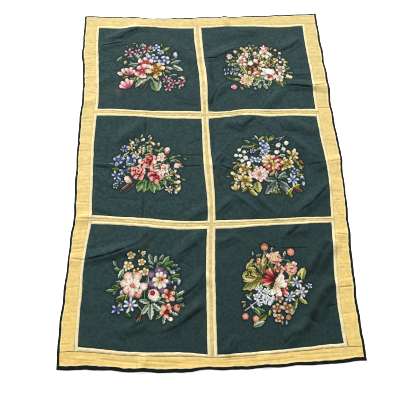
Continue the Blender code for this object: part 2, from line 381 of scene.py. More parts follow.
def lie(u, v):
    """Where the grid of points u across, v up lies on the floor: the slips of its lines, the rims' ripple, a hem
    that wanders by a millimetre, and a smaller wander all over."""
    x = u + slips(UPRIGHT_SLIP, UPRIGHT_LINES, v, u)
    y = v[:, None] + slips(LEVEL_SLIP, LEVEL_LINES, u, v).T
    x += np.interp(abs(u), (INNER_X, GOLD_X), (0, 1)) * np.sign(u) * ripple(v)[:, None]
    y += (np.interp(abs(v), (INNER_Y, GOLD_TOP), (0, 1)) * np.sign(v))[:, None] * ripple(u)
    at_side = np.exp(-(((abs(u) - GOLD_X) / HEM_REACH) ** 2))
    at_end = np.exp(-(((v - np.where(v > 0, GOLD_TOP, GOLD_BOTTOM)) / HEM_REACH) ** 2))[:, None]
    x += at_side * HEM_WANDER * waves(v, 0, 3, 7, 0.016, 0.070)[:, None]
    y += at_end * HEM_WANDER * waves(u, 0, 4, 7, 0.016, 0.070)
    wide, high = np.meshgrid(u, v)
    x += EDGE_WANDER * waves(wide, high, 5, 9, 0.035, 0.120)
    y += EDGE_WANDER * waves(wide, high, 6, 9, 0.035, 0.120)
    return x, y


def ridges(table, x, y):
    """The table's folds at every place: a cosine ridge across each, which dies away at both ends."""
    table = np.array(table) * MM
    start, along = table[:, :2], table[:, 2:4] - table[:, :2]
    t = ((x[..., None] - start[:, 0]) * along[:, 0] + (y[..., None] - start[:, 1]) * along[:, 1])
    t = np.clip(t / (along**2).sum(axis=1), 0, 1)
    aside = np.hypot(x[..., None] - start[:, 0] - t * along[:, 0], y[..., None] - start[:, 1] - t * along[:, 1])
    ridge = 0.5 + 0.5 * np.cos(np.pi * np.minimum(aside / (table[:, 4] / 2), 1))
    return table[:, 5] * ridge * (1 - (2 * t - 1) ** 4)


DEEPEST = 0.0024
CREASE_SHARE = 1.2
UNEVEN = 0.0005
BORDER_FOLD_SHARE = 0.6


def lift(x, y):
    """How high the underside stands: the largest fold at that place, the creases on it, and a slight unevenness.
    Also how sunk each place is: the troughs there as a share of the deepest."""
    folded = ridges(FOLDS, x, y).max(axis=-1) * np.interp(abs(x), (INNER_X, INNER_X + 0.02), (1, BORDER_FOLD_SHARE))
    creased = ridges(CREASES, x, y)
    uneven = UNEVEN * waves(x, y, 8, 12, 0.045, 0.160)
    return folded + CREASE_SHARE * creased.sum(axis=-1) + uneven, np.clip(-creased.min(axis=-1) / DEEPEST, 0, 1)


LEAST_CLOTH = 0.0011
SHARP_FROM = np.radians(50)


def round_the_edge(grid):
    """The grid's outermost values in one ring, anticlockwise from its first corner."""
    return np.concatenate([grid[0, :-1], grid[:-1, -1], grid[-1, :0:-1], grid[:0:-1, 0]])


def closed_cloth(name, u, v, pile, coarse=4, **maps):
    """A closed sheet: a fine grid of quads on top, walls round its edge, and under it a coarser net of faces whose
    outer ones take in every corner of the walls. pile is the cloth's thickness over the grid, and each of maps the
    pair of values over the grid that goes into the texture map of that name."""
    x, y = lie(u, v)
    height, sunk = lift(x, y)
    under = np.maximum(height, 0)
    over = np.maximum(height + pile, under + LEAST_CLOTH)
    flat = (x - BOX_MIDDLE[0], y - BOX_MIDDLE[1])
    rows, columns = x.shape
    keep_v = np.unique(np.r_[0 : rows - 1 : coarse, rows - 1])
    keep_u = np.unique(np.r_[0 : columns - 1 : coarse, columns - 1])
    kept = np.zeros((rows, columns), bool)
    kept[np.ix_(keep_v, keep_u)] = True
    kept[[0, -1]] = True
    kept[:, [0, -1]] = True
    top = np.arange(rows * columns).reshape(rows, columns)
    low = np.full((rows, columns), -1)
    low[kept] = rows * columns + np.arange(kept.sum())
    points = np.concatenate([np.stack([*flat, over], -1).reshape(-1, 3), np.stack([*flat, under], -1)[kept]])

    quads = np.stack([top[:-1, :-1], top[:-1, 1:], top[1:, 1:], top[1:, :-1]], -1).reshape(-1, 4)
    rim, foot = round_the_edge(top), round_the_edge(low)
    walls = np.stack([np.roll(rim, -1), rim, foot, np.roll(foot, -1)], -1)
    nets = []
    for v0, v1 in zip(keep_v, keep_v[1:]):
        for u0, u1 in zip(keep_u, keep_u[1:]):
            step_u0 = 1 if v0 == 0 else u1 - u0
            step_u1 = 1 if v1 == rows - 1 else u1 - u0
            step_v0 = 1 if u0 == 0 else v1 - v0
            step_v1 = 1 if u1 == columns - 1 else v1 - v0
            left, far = low[v0:v1:step_v0, u0], low[v1, u0:u1:step_u1]
            right, near = low[v1:v0:-step_v1, u1], low[v0, u1:u0:-step_u0]
            nets.append(np.concatenate([left, far, right, near]))
    corners = np.concatenate([quads.ravel(), walls.ravel(), *nets]).astype(np.int32)
    sizes = np.concatenate([np.full(len(quads) + len(walls), 4), [len(net) for net in nets]])
    mesh = bpy.data.meshes.new(name)
    mesh.vertices.add(len(points))
    mesh.vertices.foreach_set("co", points.astype(np.float32).ravel())
    mesh.loops.add(len(corners))
    mesh.loops.foreach_set("vertex_index", corners)
    mesh.polygons.add(len(sizes))
    mesh.polygons.foreach_set("loop_start", np.concatenate([[0], np.cumsum(sizes)[:-1]]).astype(np.int32))
    mesh.update(calc_edges=True)
    mesh.validate()
    mesh.shade_smooth()
    mesh.set_sharp_from_angle(angle=SHARP_FROM)

    for title, grids in maps.items():
        values = np.stack(grids, -1)
        values = np.concatenate([values.reshape(-1, 2), values[kept]])
        mesh.uv_layers.new(name=title).data.foreach_set("uv", values[corners].astype(np.float32).ravel())
    # How sunk each point is, which the materials darken as painted shade in the troughs.
    sunk = np.concatenate([sunk.ravel(), sunk[kept]])
    mesh.attributes.new("sunk", "FLOAT", "POINT").data.foreach_set("value", sunk.astype(np.float32))
    piece = bpy.data.objects.new(name, mesh)
    bpy.context.scene.collection.objects.link(piece)
    return piece


# The bouquets are worked in wool on the canvas, one slanted stitch to a thread crossing, in a few shades of each
# wool from dark to light. A canvas here is the panel's stitches with their places; petals and leaves are laid on it.
STITCHES = 288
PITCH = PANEL / STITCHES
COARSE = 3

# Each wool's shades from dark to light, as sRGB out of 255
WOOLS = {
    "pink": ((158, 66, 80), (218, 126, 134), (240, 170, 172), (250, 208, 204), (254, 238, 232)),
    "rosy": ((126, 62, 80), (190, 108, 128), (226, 156, 172), (248, 214, 216)),
    "coral": ((140, 44, 38), (196, 88, 74), (228, 132, 112), (242, 172, 150), (252, 216, 196)),
    "red": ((96, 16, 28), (150, 34, 46), (194, 66, 74), (226, 118, 114), (246, 190, 176)),
    "crimson": ((74, 8, 20), (122, 18, 34), (160, 36, 48), (196, 72, 70), (224, 120, 96)),
    "shell": ((186, 112, 100), (232, 178, 158), (248, 212, 194), (255, 236, 222), (255, 250, 240)),
    "peach": ((158, 94, 66), (214, 150, 116), (240, 192, 156), (250, 220, 190), (255, 240, 220)),
    "blush": ((172, 126, 100), (226, 190, 164), (248, 226, 206), (255, 246, 234)),
    "ivory": ((206, 184, 148), (240, 228, 200), (252, 246, 228), (255, 253, 244)),
    "straw": ((118, 96, 44), (178, 152, 80), (216, 192, 114), (240, 222, 158), (253, 244, 208)),
    "gold": ((118, 74, 26), (184, 132, 54), (224, 180, 92), (246, 212, 136), (254, 238, 186)),
    "rust": ((84, 34, 14), (134, 62, 26), (178, 98, 46), (214, 144, 90)),
    "cream": ((188, 148, 84), (216, 186, 116), (240, 220, 156), (252, 240, 200), (255, 252, 232)),
    "lemon": ((112, 108, 44), (168, 162, 78), (212, 204, 122), (240, 234, 174)),
    "blue": ((50, 64, 108), (104, 124, 174), (152, 172, 214), (200, 212, 236), (240, 243, 250)),
    "ice": ((116, 128, 158), (164, 178, 206), (204, 214, 232), (238, 242, 250)),
    "navy": ((22, 28, 62), (46, 58, 108), (86, 102, 158), (158, 174, 212)),
    "lilac": ((58, 68, 116), (102, 118, 168), (150, 166, 206), (208, 216, 236)),
    "purple": ((84, 54, 82), (122, 88, 122), (156, 122, 156), (200, 172, 200)),
    "white": ((170, 178, 184), (220, 224, 226), (243, 245, 242), (255, 255, 252)),
    "sage": ((46, 68, 60), (90, 114, 98), (146, 168, 146), (206, 220, 198)),
    "pale": ((80, 104, 86), (142, 162, 134), (198, 212, 184), (240, 246, 226)),
    "fresh": ((52, 84, 48), (98, 132, 76), (146, 176, 116), (194, 214, 158)),
    "moss": ((30, 58, 30), (56, 92, 44), (90, 126, 62), (134, 162, 92)),
    "olive": ((54, 60, 24), (100, 108, 44), (152, 156, 72), (210, 208, 124)),
    "brass": ((88, 74, 30), (148, 130, 54), (202, 182, 90), (238, 222, 146)),
    "brown": ((52, 30, 20), (92, 58, 38), (134, 92, 62), (174, 132, 96)),
    "tan": ((122, 78, 56), (180, 128, 98), (218, 174, 142), (244, 214, 186)),
    "slate": ((38, 46, 44), (96, 112, 98), (148, 162, 144), (194, 204, 186)),
}


def from_srgb(colours):
    """The light that a screen colour out of 255 stands for: its share to the power 2.4, straight near black."""
    share = np.asarray(colours, float) / 255
    return np.where(share < 0.04045, share / 12.92, ((share + 0.055) / 1.055) ** 2.4)


SLIP_ROOM = 8
SHADOW_GREEN = (18, 36, 34)


class Canvas:
    """A panel's stitches: their places in mm from the middle of the six panels, colours and share of new wool. grain
    is what each stitch differs by from its neighbours."""

    def __init__(self, u, v, seed):
        x, y = lie(u, v)
        self.x, self.y = x / MM, y / MM
        self.colour = np.zeros((*x.shape, 3))
        self.worked = np.zeros(x.shape)
        self.grain = np.random.default_rng(seed).uniform(-1, 1, x.shape)

    def near(self, x, y, reach):
        """The part of the canvas within reach of a place, with room for the slips of its lines."""
        columns = np.searchsorted(self.x.mean(axis=0), (x - reach - SLIP_ROOM, x + reach + SLIP_ROOM))
        rows = np.searchsorted(self.y.mean(axis=1), (y - reach - SLIP_ROOM, y + reach + SLIP_ROOM))
        return slice(*rows), slice(*columns)

    def stitch(self, part, where, shade, wool):
        """Fills the stitches where is true with the wool's shade for a value of 0, dark, to 1, light."""
        shades = np.array(WOOLS[wool])
        shade = shade + 0.09 * self.grain[part]
        pick = np.clip((shade * len(shades)).astype(int), 0, len(shades) - 1)
        self.colour[part][where] = shades[pick][where]
        self.worked[part][where] = 1

    def shadow(self):
        """The bare ground within a few stitches of the motifs, which is worked in a darker green."""
        near = self.worked.copy()
        for reach, share in ((2, 0.8), (5, 0.45)):
            wide = np.pad(self.worked, reach)
            size = np.array(self.worked.shape)
            for up in range(2 * reach + 1):
                for over in range(2 * reach + 1):
                    if (up - reach) ** 2 + (over - reach) ** 2 <= reach**2:
                        near = np.maximum(near, share * wide[up : up + size[0], over : over + size[1]])
        bare = (self.worked == 0) & (near > 0)
        self.colour[bare] = SHADOW_GREEN
        self.worked[bare] = near[bare]


RAGGED = 0.12


def petal(
    canvas, x, y, length, width, turn, wool,
    shade=(0.0, 1.0), tip=1.0, full=0.5, bend=0.0, side=0.0, rim=0.0, vein=0.0, streak=0.0,
):
    """A petal or leaf from (x, y): t runs 0 to 1 along its axis, and its half width is (4 s (1 - s)) to the power
    full with s = t to the power tip, ragged by two sine waves. Its shade runs along t, and side, rim, vein and
    streak add to it across the width."""
    part = canvas.near(x, y, length + width + 4)
    way = np.radians(turn)
    dx, dy = canvas.x[part] - x, canvas.y[part] - y
    t = (dx * np.cos(way) + dy * np.sin(way)) / length
    aside = dy * np.cos(way) - dx * np.sin(way) - bend * length * t * t
    s = np.clip(t, 0, 1) ** tip
    start = 1.7 * x + 2.3 * y + turn
    rough = 1 + RAGGED * (np.sin(15 * t + start) + np.sin(31 * t + 2 * start + np.sign(aside)))
    half = np.maximum(width / 2 * (4 * s * (1 - s)) ** full * rough, 0.9)
    where = (t > 0) & (t < 1) & (abs(aside) < half)
    across = np.clip(aside / half, -1, 1)
    tone = shade[0] + (shade[1] - shade[0]) * t + side * np.sign(across) + rim * abs(across) ** 3
    tone += streak * np.sin(9 * across + start)
    tone -= vein * (abs(aside) < 0.9)
    canvas.stitch(part, where, tone, wool)


def dab(canvas, x, y, radius, turn, wool, dark=0.0, light=1.0):
    """A round spot, whose shade runs from dark in its middle to light at its rim."""
    part = canvas.near(x, y, radius + 4)
    rho = np.hypot(canvas.x[part] - x, canvas.y[part] - y) / radius
    canvas.stitch(part, rho < 1 + 0.12 * canvas.grain[part], dark + (light - dark) * rho, wool)


def stem(canvas, x, y, length, turn, wool, bend=0.0):
    """A stem two stitches wide that curves aside by bend times its length, light on one side and dark on the other."""
    part = canvas.near(x, y, length + 6)
    way = np.radians(turn)
    dx, dy = canvas.x[part] - x, canvas.y[part] - y
    t = (dx * np.cos(way) + dy * np.sin(way)) / length
    aside = dy * np.cos(way) - dx * np.sin(way) - bend * length * t * t
    where = (t > 0) & (t < 1) & (abs(aside) < 1.7)
    canvas.stitch(part, where, 0.55 + 0.35 * np.sign(aside), wool)


# Flowers seen from the front, as rings of petals from the outside in. Columns: petals, length and width as shares
# of the flower's radius, dark and light end of the shade, how much the sides darken
FLOWERS = {
    "rose": (
        (7, 1.00, 0.90, -0.2, 1.5, -1.4),
        (6, 0.80, 0.78, -0.7, 1.45, -1.4),
        (5, 0.58, 0.60, -0.8, 1.3, -1.2),
        (3, 0.36, 0.42, -0.7, 1.0, -0.8),
    ),
    "open": ((5, 1.00, 0.78, -0.4, 1.3, -0.8),),
    "six": ((6, 1.00, 0.60, -0.3, 1.3, -0.7),),
    "star": ((5, 1.00, 0.42, -0.1, 1.2, -0.5),),
    "aster": ((7, 1.00, 0.34, -0.1, 1.3, -0.4),),
    "double": (
        (11, 1.00, 0.52, -0.2, 1.1, -0.9),
        (9, 0.76, 0.46, -0.4, 1.2, -0.9),
        (6, 0.50, 0.40, -0.4, 1.1, -0.8),
    ),
}


def flower(canvas, kind, x, y, radius, turn, wool, heart=None):
    """Rings of petals laid from the outside in, each turned by half a petal, round a heart of another wool."""
    for ring, (count, length, width, dark, light, rim) in enumerate(FLOWERS[kind]):
        for k in range(count):
            way = turn + 360 * (k + 0.5 * ring) / count + 7 * np.sin(3.1 * k + y)
            uneven = 1 + 0.12 * np.sin(2.3 * k + x + 1.7 * ring)
            petal(
                canvas, x, y, radius * length * uneven, radius * width, way, wool,
                shade=(dark, light + 0.15 * np.sin(1.9 * k + y)), tip=1.6, full=0.6, rim=rim, streak=0.14,
            )
    if heart:
        dab(canvas, x, y, radius * 0.22, 0, heart, 0.9, 0.2)


def bud(canvas, x, y, length, turn, wool, bend=0.0):
    """A closed bud on a small green cup, lighter on one side, with a dark line between its two petals."""
    petal(
        canvas, x, y, length, 0.58 * length, turn, wool,
        shade=(0.2, 1.0), tip=1.25, side=0.16, bend=bend, rim=-0.4,
    )
    petal(canvas, x, y, 0.8 * length, 3.0, turn, wool, shade=(0.0, 0.2), full=0.3)
    way = np.radians(turn)
    foot = x - 3 * np.cos(way), y - 3 * np.sin(way)
    petal(canvas, *foot, 0.38 * length, 0.42 * length, turn, "moss", shade=(0.1, 0.7))


def tulip(canvas, x, y, length, turn, wool):
    """A trumpet seen from the side: four petals fanned out from its foot, the middle ones in front."""
    for aside, size in ((-46, 0.85), (44, 0.9), (-17, 1.0), (16, 0.96)):
        petal(
            canvas, x, y, size * length, 0.44 * length, turn + aside, wool,
            shade=(-0.1, 1.15), tip=1.4, rim=-0.7, streak=0.12,
        )


# Widths as shares of the length
LEAF_WIDTH = {"leaf": 0.36, "blade": 0.20, "broad": 0.58}


def leaf(canvas, kind, x, y, length, turn, wool, bend=0.0):
    """A pointed leaf with light edges and a dark middle, one half lighter than the other."""
    width = max(LEAF_WIDTH[kind] * length, 5.5)
    petal(
        canvas, x, y, length, width, turn, wool,
        shade=(0.25, 0.6), tip=0.9, full=0.8, bend=bend, side=0.20, rim=0.42, vein=0.4 if width > 6 else 0.0,
    )


GOLDEN_ANGLE = 2.39996


def florets(canvas, x, y, radius, count, wool, heart=None):
    """A head of many small florets, scattered evenly over a round patch on the golden angle."""
    for k in range(int(count)):
        reach, way = radius * np.sqrt((k + 0.5) / count), GOLDEN_ANGLE * k
        spot = x + reach * np.cos(way), y + reach * np.sin(way)
        flower(canvas, "open", *spot, (0.34 + 0.06 * np.sin(5.1 * k)) * radius, 37 * k, wool, heart)


def foliage(canvas, x, y, radius, count, wool):
    """Small leaves that point outwards from under a flower or a bunch, scattered on the golden angle."""
    for k in range(int(count)):
        reach, way = radius * (0.35 + 0.65 * (k + 0.5) / count), GOLDEN_ANGLE * k
        spot = x + reach * np.cos(way), y + reach * np.sin(way)
        leaf(canvas, "leaf", *spot, 17 + 5 * np.sin(2.7 * k), np.degrees(way) + 50 * np.sin(1.3 * k), wool)


def embroider(canvas, table):
    """Lays a bouquet's motifs on the canvas in the order of its table."""
    kinds = {"bud": bud, "tulip": tulip, "stem": stem, "florets": florets, "foliage": foliage, "dab": dab}
    for motif in table.split(";"):
        kind, *words = motif.split()
        x, y, size, turn, wool, *more = [word if word in WOOLS else float(word) for word in words]
        if kind in FLOWERS:
            flower(canvas, kind, x, y, size, turn, wool, *more)
        elif kind in LEAF_WIDTH:
            leaf(canvas, kind, x, y, size, turn, wool, *more)
        elif kind == "petal":
            petal(canvas, x, y, size, more[0], turn, wool, shade=(0.0, 1.15), tip=1.4, rim=-0.6, streak=0.12)
        else:
            kinds[kind](canvas, x, y, size, turn, wool, *more)
    canvas.shadow()


# The six bouquets. Places are in mm from the middle of the six panels; turns are in degrees from the right,
# anticlockwise. Each motif: its kind, x, y, size, turn (for florets and foliage their count) and wool, and then a
# heart's wool, a bend, a width, or a dark and a light shade
BOUQUETS = {
    "r1c1": """
        foliage -235 610 66 18 moss; foliage -300 540 80 14 sage; foliage -150 450 44 9 sage;
        foliage -330 640 56 10 sage; leaf -330 655 28 100 sage; leaf -319 658 30 62 sage; leaf -301 660 26 95 pale;
        leaf -430 572 40 52 sage; leaf -384 596 34 8 sage; bud -392 553 25 78 lemon; blade -348 624 58 -57 pale 0.08;
        leaf -326 592 36 48 sage 0.25; leaf -376 550 52 16 sage -0.1; blade -350 536 24 42 sage;
        bud -283 597 28 86 ice; leaf -310 622 22 30 sage; leaf -168 556 56 23 sage; leaf -158 547 62 -30 pale;
        leaf -190 540 38 -22 blush; leaf -196 520 34 -30 sage; leaf -168 489 34 4 sage; leaf -196 506 30 12 moss;
        stem -204 508 34 -66 pale; leaf -400 476 30 12 olive; leaf -366 466 22 20 tan; leaf -344 450 36 76 olive;
        leaf -330 456 32 68 lemon; leaf -308 464 52 -124 pale; leaf -310 440 40 46 pale; leaf -292 470 34 -158 fresh;
        leaf -272 492 34 -104 fresh; leaf -262 486 26 -140 pale; stem -264 488 56 -64 pale; leaf -242 484 32 -50 pale;
        broad -254 458 64 -70 fresh; leaf -218 458 60 -99 pale; stem -290 444 34 -132 brown;
        stem -278 448 38 -112 brown; leaf -266 644 28 92 pale; leaf -212 660 24 84 olive; leaf -203 638 38 32 lemon;
        leaf -204 622 28 74 olive; leaf -276 626 28 22 olive; leaf -172 602 24 84 moss; leaf -166 580 24 24 olive;
        leaf -246 570 28 60 olive; leaf -228 574 20 100 moss; star -374 628 25 82 rosy; star -330 630 21 62 rosy;
        star -289 651 25 30 rosy; open -239 655 21 20 blue white; open -216 629 15 50 ice;
        open -254 594 27 10 blue cream; open -198 579 30 40 blue cream; petal -139 590 38 98 ice 21;
        open -290 566 36 92 pink rust; open -306 517 40 62 pink red; petal -296 500 26 -80 shell 20;
        six -237 520 44 78 gold olive; dab -240 545 10 0 rust; dab -255 520 7 0 rust; dab -225 500 7 0 rust;
        tulip -369 490 50 96 pink; bud -382 507 32 138 shell; bud -392 494 36 158 shell; tulip -366 418 56 122 pink;
        star -188 466 20 20 rosy; star -153 449 19 50 rosy; star -118 444 22 36 rosy; star -177 418 22 82 rosy;
        leaf -130 428 22 -70 sage; bud -94 472 26 166 shell; stem -168 480 34 -100 sage
    """,
    "r1c2": """
        foliage 255 530 112 70 pale; foliage 250 545 112 60 olive; foliage 245 555 104 34 lemon;
        foliage 165 560 50 12 olive; foliage 376 560 38 12 brass; foliage 300 600 50 14 fresh;
        foliage 372 492 40 10 olive; foliage 262 455 44 10 pale; leaf 240 664 20 130 sage; leaf 262 646 24 60 fresh;
        leaf 244 676 18 -30 ice; leaf 340 640 22 80 fresh; stem 196 604 56 74 moss; stem 300 590 70 60 moss;
        stem 352 560 64 62 moss; leaf 158 612 28 60 olive; leaf 206 620 28 40 brass; leaf 104 574 24 -16 pale;
        leaf 130 570 28 14 olive; leaf 148 550 26 34 fresh; leaf 116 546 22 10 olive; leaf 275 580 34 78 lemon;
        leaf 288 570 34 96 olive; leaf 302 546 44 66 lemon; leaf 330 556 34 84 brown; leaf 186 545 50 -66 lemon;
        leaf 202 520 34 70 olive; leaf 214 500 34 40 lemon; leaf 236 480 30 60 lemon; leaf 276 500 36 100 fresh;
        leaf 330 545 28 40 olive; petal 101 538 24 -92 slate 8; petal 117 536 18 -84 lilac 8;
        petal 138 540 20 -86 lilac 10; petal 166 538 22 -94 lilac 9; petal 152 534 12 -90 slate 8;
        petal 128 522 14 -84 navy 8; petal 103 510 18 -90 ice 8; petal 115 512 14 -90 lilac 8;
        petal 130 512 18 -84 ice 9; petal 147 512 16 -86 lilac 9; petal 160 518 16 -80 navy 9;
        petal 176 510 22 -98 lilac 9; dab 122 552 4 0 ice; dab 141 552 5 0 ice; leaf 104 480 34 -30 moss;
        leaf 132 466 36 -14 olive; leaf 148 462 26 10 lemon; leaf 184 452 40 -68 moss; leaf 196 440 34 -50 olive;
        leaf 172 424 26 -60 tan; leaf 240 402 18 44 rosy; leaf 268 458 44 -134 pale; leaf 274 442 34 -110 pale;
        leaf 262 476 44 -6 fresh; leaf 286 474 36 -140 pale; leaf 284 440 40 -58 pale; leaf 300 462 34 176 sage;
        leaf 326 464 42 -110 fresh; leaf 342 460 34 -40 olive; leaf 362 458 44 -62 olive; leaf 376 452 30 -40 moss;
        leaf 400 520 32 24 fresh; leaf 414 500 26 10 olive; leaf 396 474 26 10 lemon; dab 190 652 8 0 gold 0.8 0.5;
        dab 219 656 7 0 peach 0.9 0.5; dab 236 653 7 0 straw 0.9 0.4; dab 203 646 6 0 blush;
        dab 209 634 8 0 straw 0.7 0.3; dab 361 641 7 0 gold 0.8 0.5; dab 382 623 7 0 ivory;
        dab 334 615 8 0 blush 0.9 0.5; petal 378 610 22 -82 tan 9; dab 395 584 6 0 ivory;
        dab 404 569 7 0 straw 0.9 0.4; dab 400 551 6 0 ivory; dab 366 579 7 0 peach 0.9 0.5; dab 381 568 7 0 ivory;
        dab 352 570 7 0 straw 0.9 0.4; dab 352 587 7 0 gold 0.7 0.4; dab 364 553 6 0 blush;
        open 306 620 27 18 ivory brown; star 306 653 21 20 pink crimson; star 306 653 15 56 pink crimson;
        dab 322 652 8 0 pink 0.4 0.2; petal 300 636 22 84 shell 20; open 203 606 22 50 blush tan;
        dab 214 612 7 0 white; petal 224 608 18 70 lilac 10; petal 246 604 30 60 peach 20;
        petal 258 606 24 20 peach 14; open 187 571 26 30 blush peach; dab 128 601 14 0 shell 1.0 0.6;
        petal 128 598 16 20 peach 10; dab 157 628 8 0 shell 0.9 0.6; petal 240 536 34 118 rust 26;
        petal 252 528 34 -60 rust 24; petal 236 520 30 -130 rust 20; open 240 524 20 10 rust;
        dab 231 561 13 0 ivory 1.0 0.4; petal 268 556 36 118 shell 22; petal 272 552 30 44 blush 16;
        petal 268 544 34 10 peach 16; petal 262 544 30 -40 blush 14; dab 250 524 8 0 tan 0.8 0.4;
        dab 258 508 9 0 peach 0.6 0.3; dab 221 505 8 0 shell; petal 230 492 30 28 blush 14;
        petal 246 482 26 16 peach 13; petal 184 476 28 124 shell 14; double 208 460 33 12 peach;
        double 212 462 24 30 straw gold; petal 192 454 22 -168 pink 14; petal 312 500 38 128 ivory 22;
        petal 312 494 34 168 white 18; petal 322 496 36 -60 pink 24; petal 330 500 34 -40 shell 24;
        petal 312 496 34 -112 shell 24; petal 320 492 34 -84 pink 24; petal 318 534 20 60 red 12;
        dab 330 508 17 0 shell 0.9 0.6; dab 317 513 16 0 white 1.1 0.8; petal 326 492 24 -60 red 7;
        petal 336 498 20 -30 red 6; dab 318 478 7 0 crimson 0.5 0.3; open 378 522 25 40 blush tan;
        dab 376 540 7 0 peach 0.9 0.5; open 368 474 23 10 ivory tan; petal 340 474 22 -150 cream 14;
        dab 424 478 9 0 shell 0.9 0.5; dab 410 486 7 0 ivory; dab 387 497 5 0 ice; dab 143 421 14 0 rosy 0.9 0.4;
        petal 140 414 16 140 pink 12
    """,
    "r2c1": """
        foliage -300 92 60 26 pale; foliage -165 -84 46 20 sage; foliage -370 10 50 18 sage;
        foliage -160 20 56 10 fresh; foliage -380 -10 48 14 moss; leaf -320 112 26 78 sage; leaf -302 96 24 26 fresh;
        leaf -290 60 34 80 pale; leaf -272 108 20 60 sage; leaf -244 80 28 -16 fresh; leaf -220 66 36 54 fresh;
        leaf -284 48 30 30 olive; leaf -256 52 26 84 tan; leaf -382 44 30 40 pale 0.2; leaf -368 4 34 14 pale;
        leaf -350 0 40 -30 moss; leaf -430 -14 34 2 olive; leaf -172 18 34 16 sage; leaf -172 30 34 34 fresh;
        leaf -150 30 24 -30 sage; leaf -240 -6 40 30 fresh; leaf -252 -18 34 14 pale; leaf -272 -10 30 -26 moss;
        leaf -188 20 34 -60 moss; leaf -172 -50 34 48 fresh; leaf -196 -70 30 -76 pale; leaf -180 -64 34 -56 pale;
        leaf -196 -66 56 -20 moss; leaf -230 -70 44 -34 moss; leaf -122 -66 24 -20 olive; leaf -206 -64 30 30 fresh;
        leaf -320 -66 40 -20 moss; stem -340 -84 62 -142 brown; stem -330 -88 56 -134 brown;
        stem -346 -80 46 -140 tan; leaf -282 -66 56 -134 fresh; leaf -284 -64 68 -116 fresh;
        leaf -278 -68 62 -96 fresh; leaf -286 -80 40 -150 moss; leaf -254 -66 70 -78 fresh;
        leaf -250 -66 66 -56 fresh; leaf -262 -70 54 -100 moss; leaf -246 -80 44 -36 fresh;
        petal -352 104 26 60 cream 12; petal -356 112 24 20 cream 12; star -347 92 17 80 cream gold;
        petal -304 126 22 34 cream 14; star -301 82 17 40 cream rust; petal -302 84 20 -110 cream 10;
        petal -266 126 24 60 tan 10; petal -262 124 26 -36 cream 13; star -264 88 15 60 straw;
        bud -222 98 20 86 shell; star -322 56 17 30 cream gold; aster -376 88 18 40 lilac;
        open -400 31 24 24 lilac purple; open -344 30 24 70 blue navy; petal -340 24 18 -60 navy 11;
        petal -352 26 18 -140 navy 10; petal -350 40 16 160 ice 10; petal -330 34 18 30 lilac 12;
        star -373 -20 24 100 lilac navy; petal -370 -24 20 -30 navy 8; star -409 -46 21 30 blue navy;
        star -392 -76 16 80 lilac; open -409 -96 13 10 sage slate; dab -409 9 7 0 lilac; petal -302 8 26 100 shell 18;
        petal -290 10 24 150 shell 14; rose -259 20 35 10 red; petal -254 12 24 28 shell 22;
        petal -262 4 22 -60 peach 16; petal -284 30 20 -130 coral 14; dab -270 32 9 0 crimson;
        petal -262 40 22 60 crimson 12; rose -311 -31 36 40 red; petal -300 -52 40 60 peach 8;
        petal -326 -8 30 30 peach 8; dab -310 -26 11 0 coral; rose -234 -47 36 70 red; petal -262 -22 52 -4 shell 9;
        petal -236 -34 26 -10 pink 20; dab -230 -60 9 0 crimson; petal -204 -70 44 84 shell 9;
        rose -209 42 22 20 shell; petal -196 30 26 70 crimson 7; dab -211 40 7 0 pale; rose -194 -15 24 50 shell;
        petal -214 -30 40 88 crimson 7; petal -176 -28 34 84 crimson 7; dab -194 -14 7 0 fresh;
        bud -190 58 36 66 shell; petal -188 60 32 80 shell 22; bud -114 8 40 -160 shell;
        petal -118 6 34 -168 shell 22; bud -340 -88 46 128 shell; petal -338 -82 40 140 shell 20;
        star -176 -51 15 20 cream gold; petal -148 -40 20 80 shell 11; petal -150 -44 28 -30 shell 12;
        petal -152 -84 28 10 cream 18; petal -150 -92 14 80 lemon 10; star -176 -114 17 60 blush tan;
        petal -150 -126 32 34 cream 14; petal -148 -120 18 -70 cream 12; petal -136 -112 16 120 tan 9
    """,
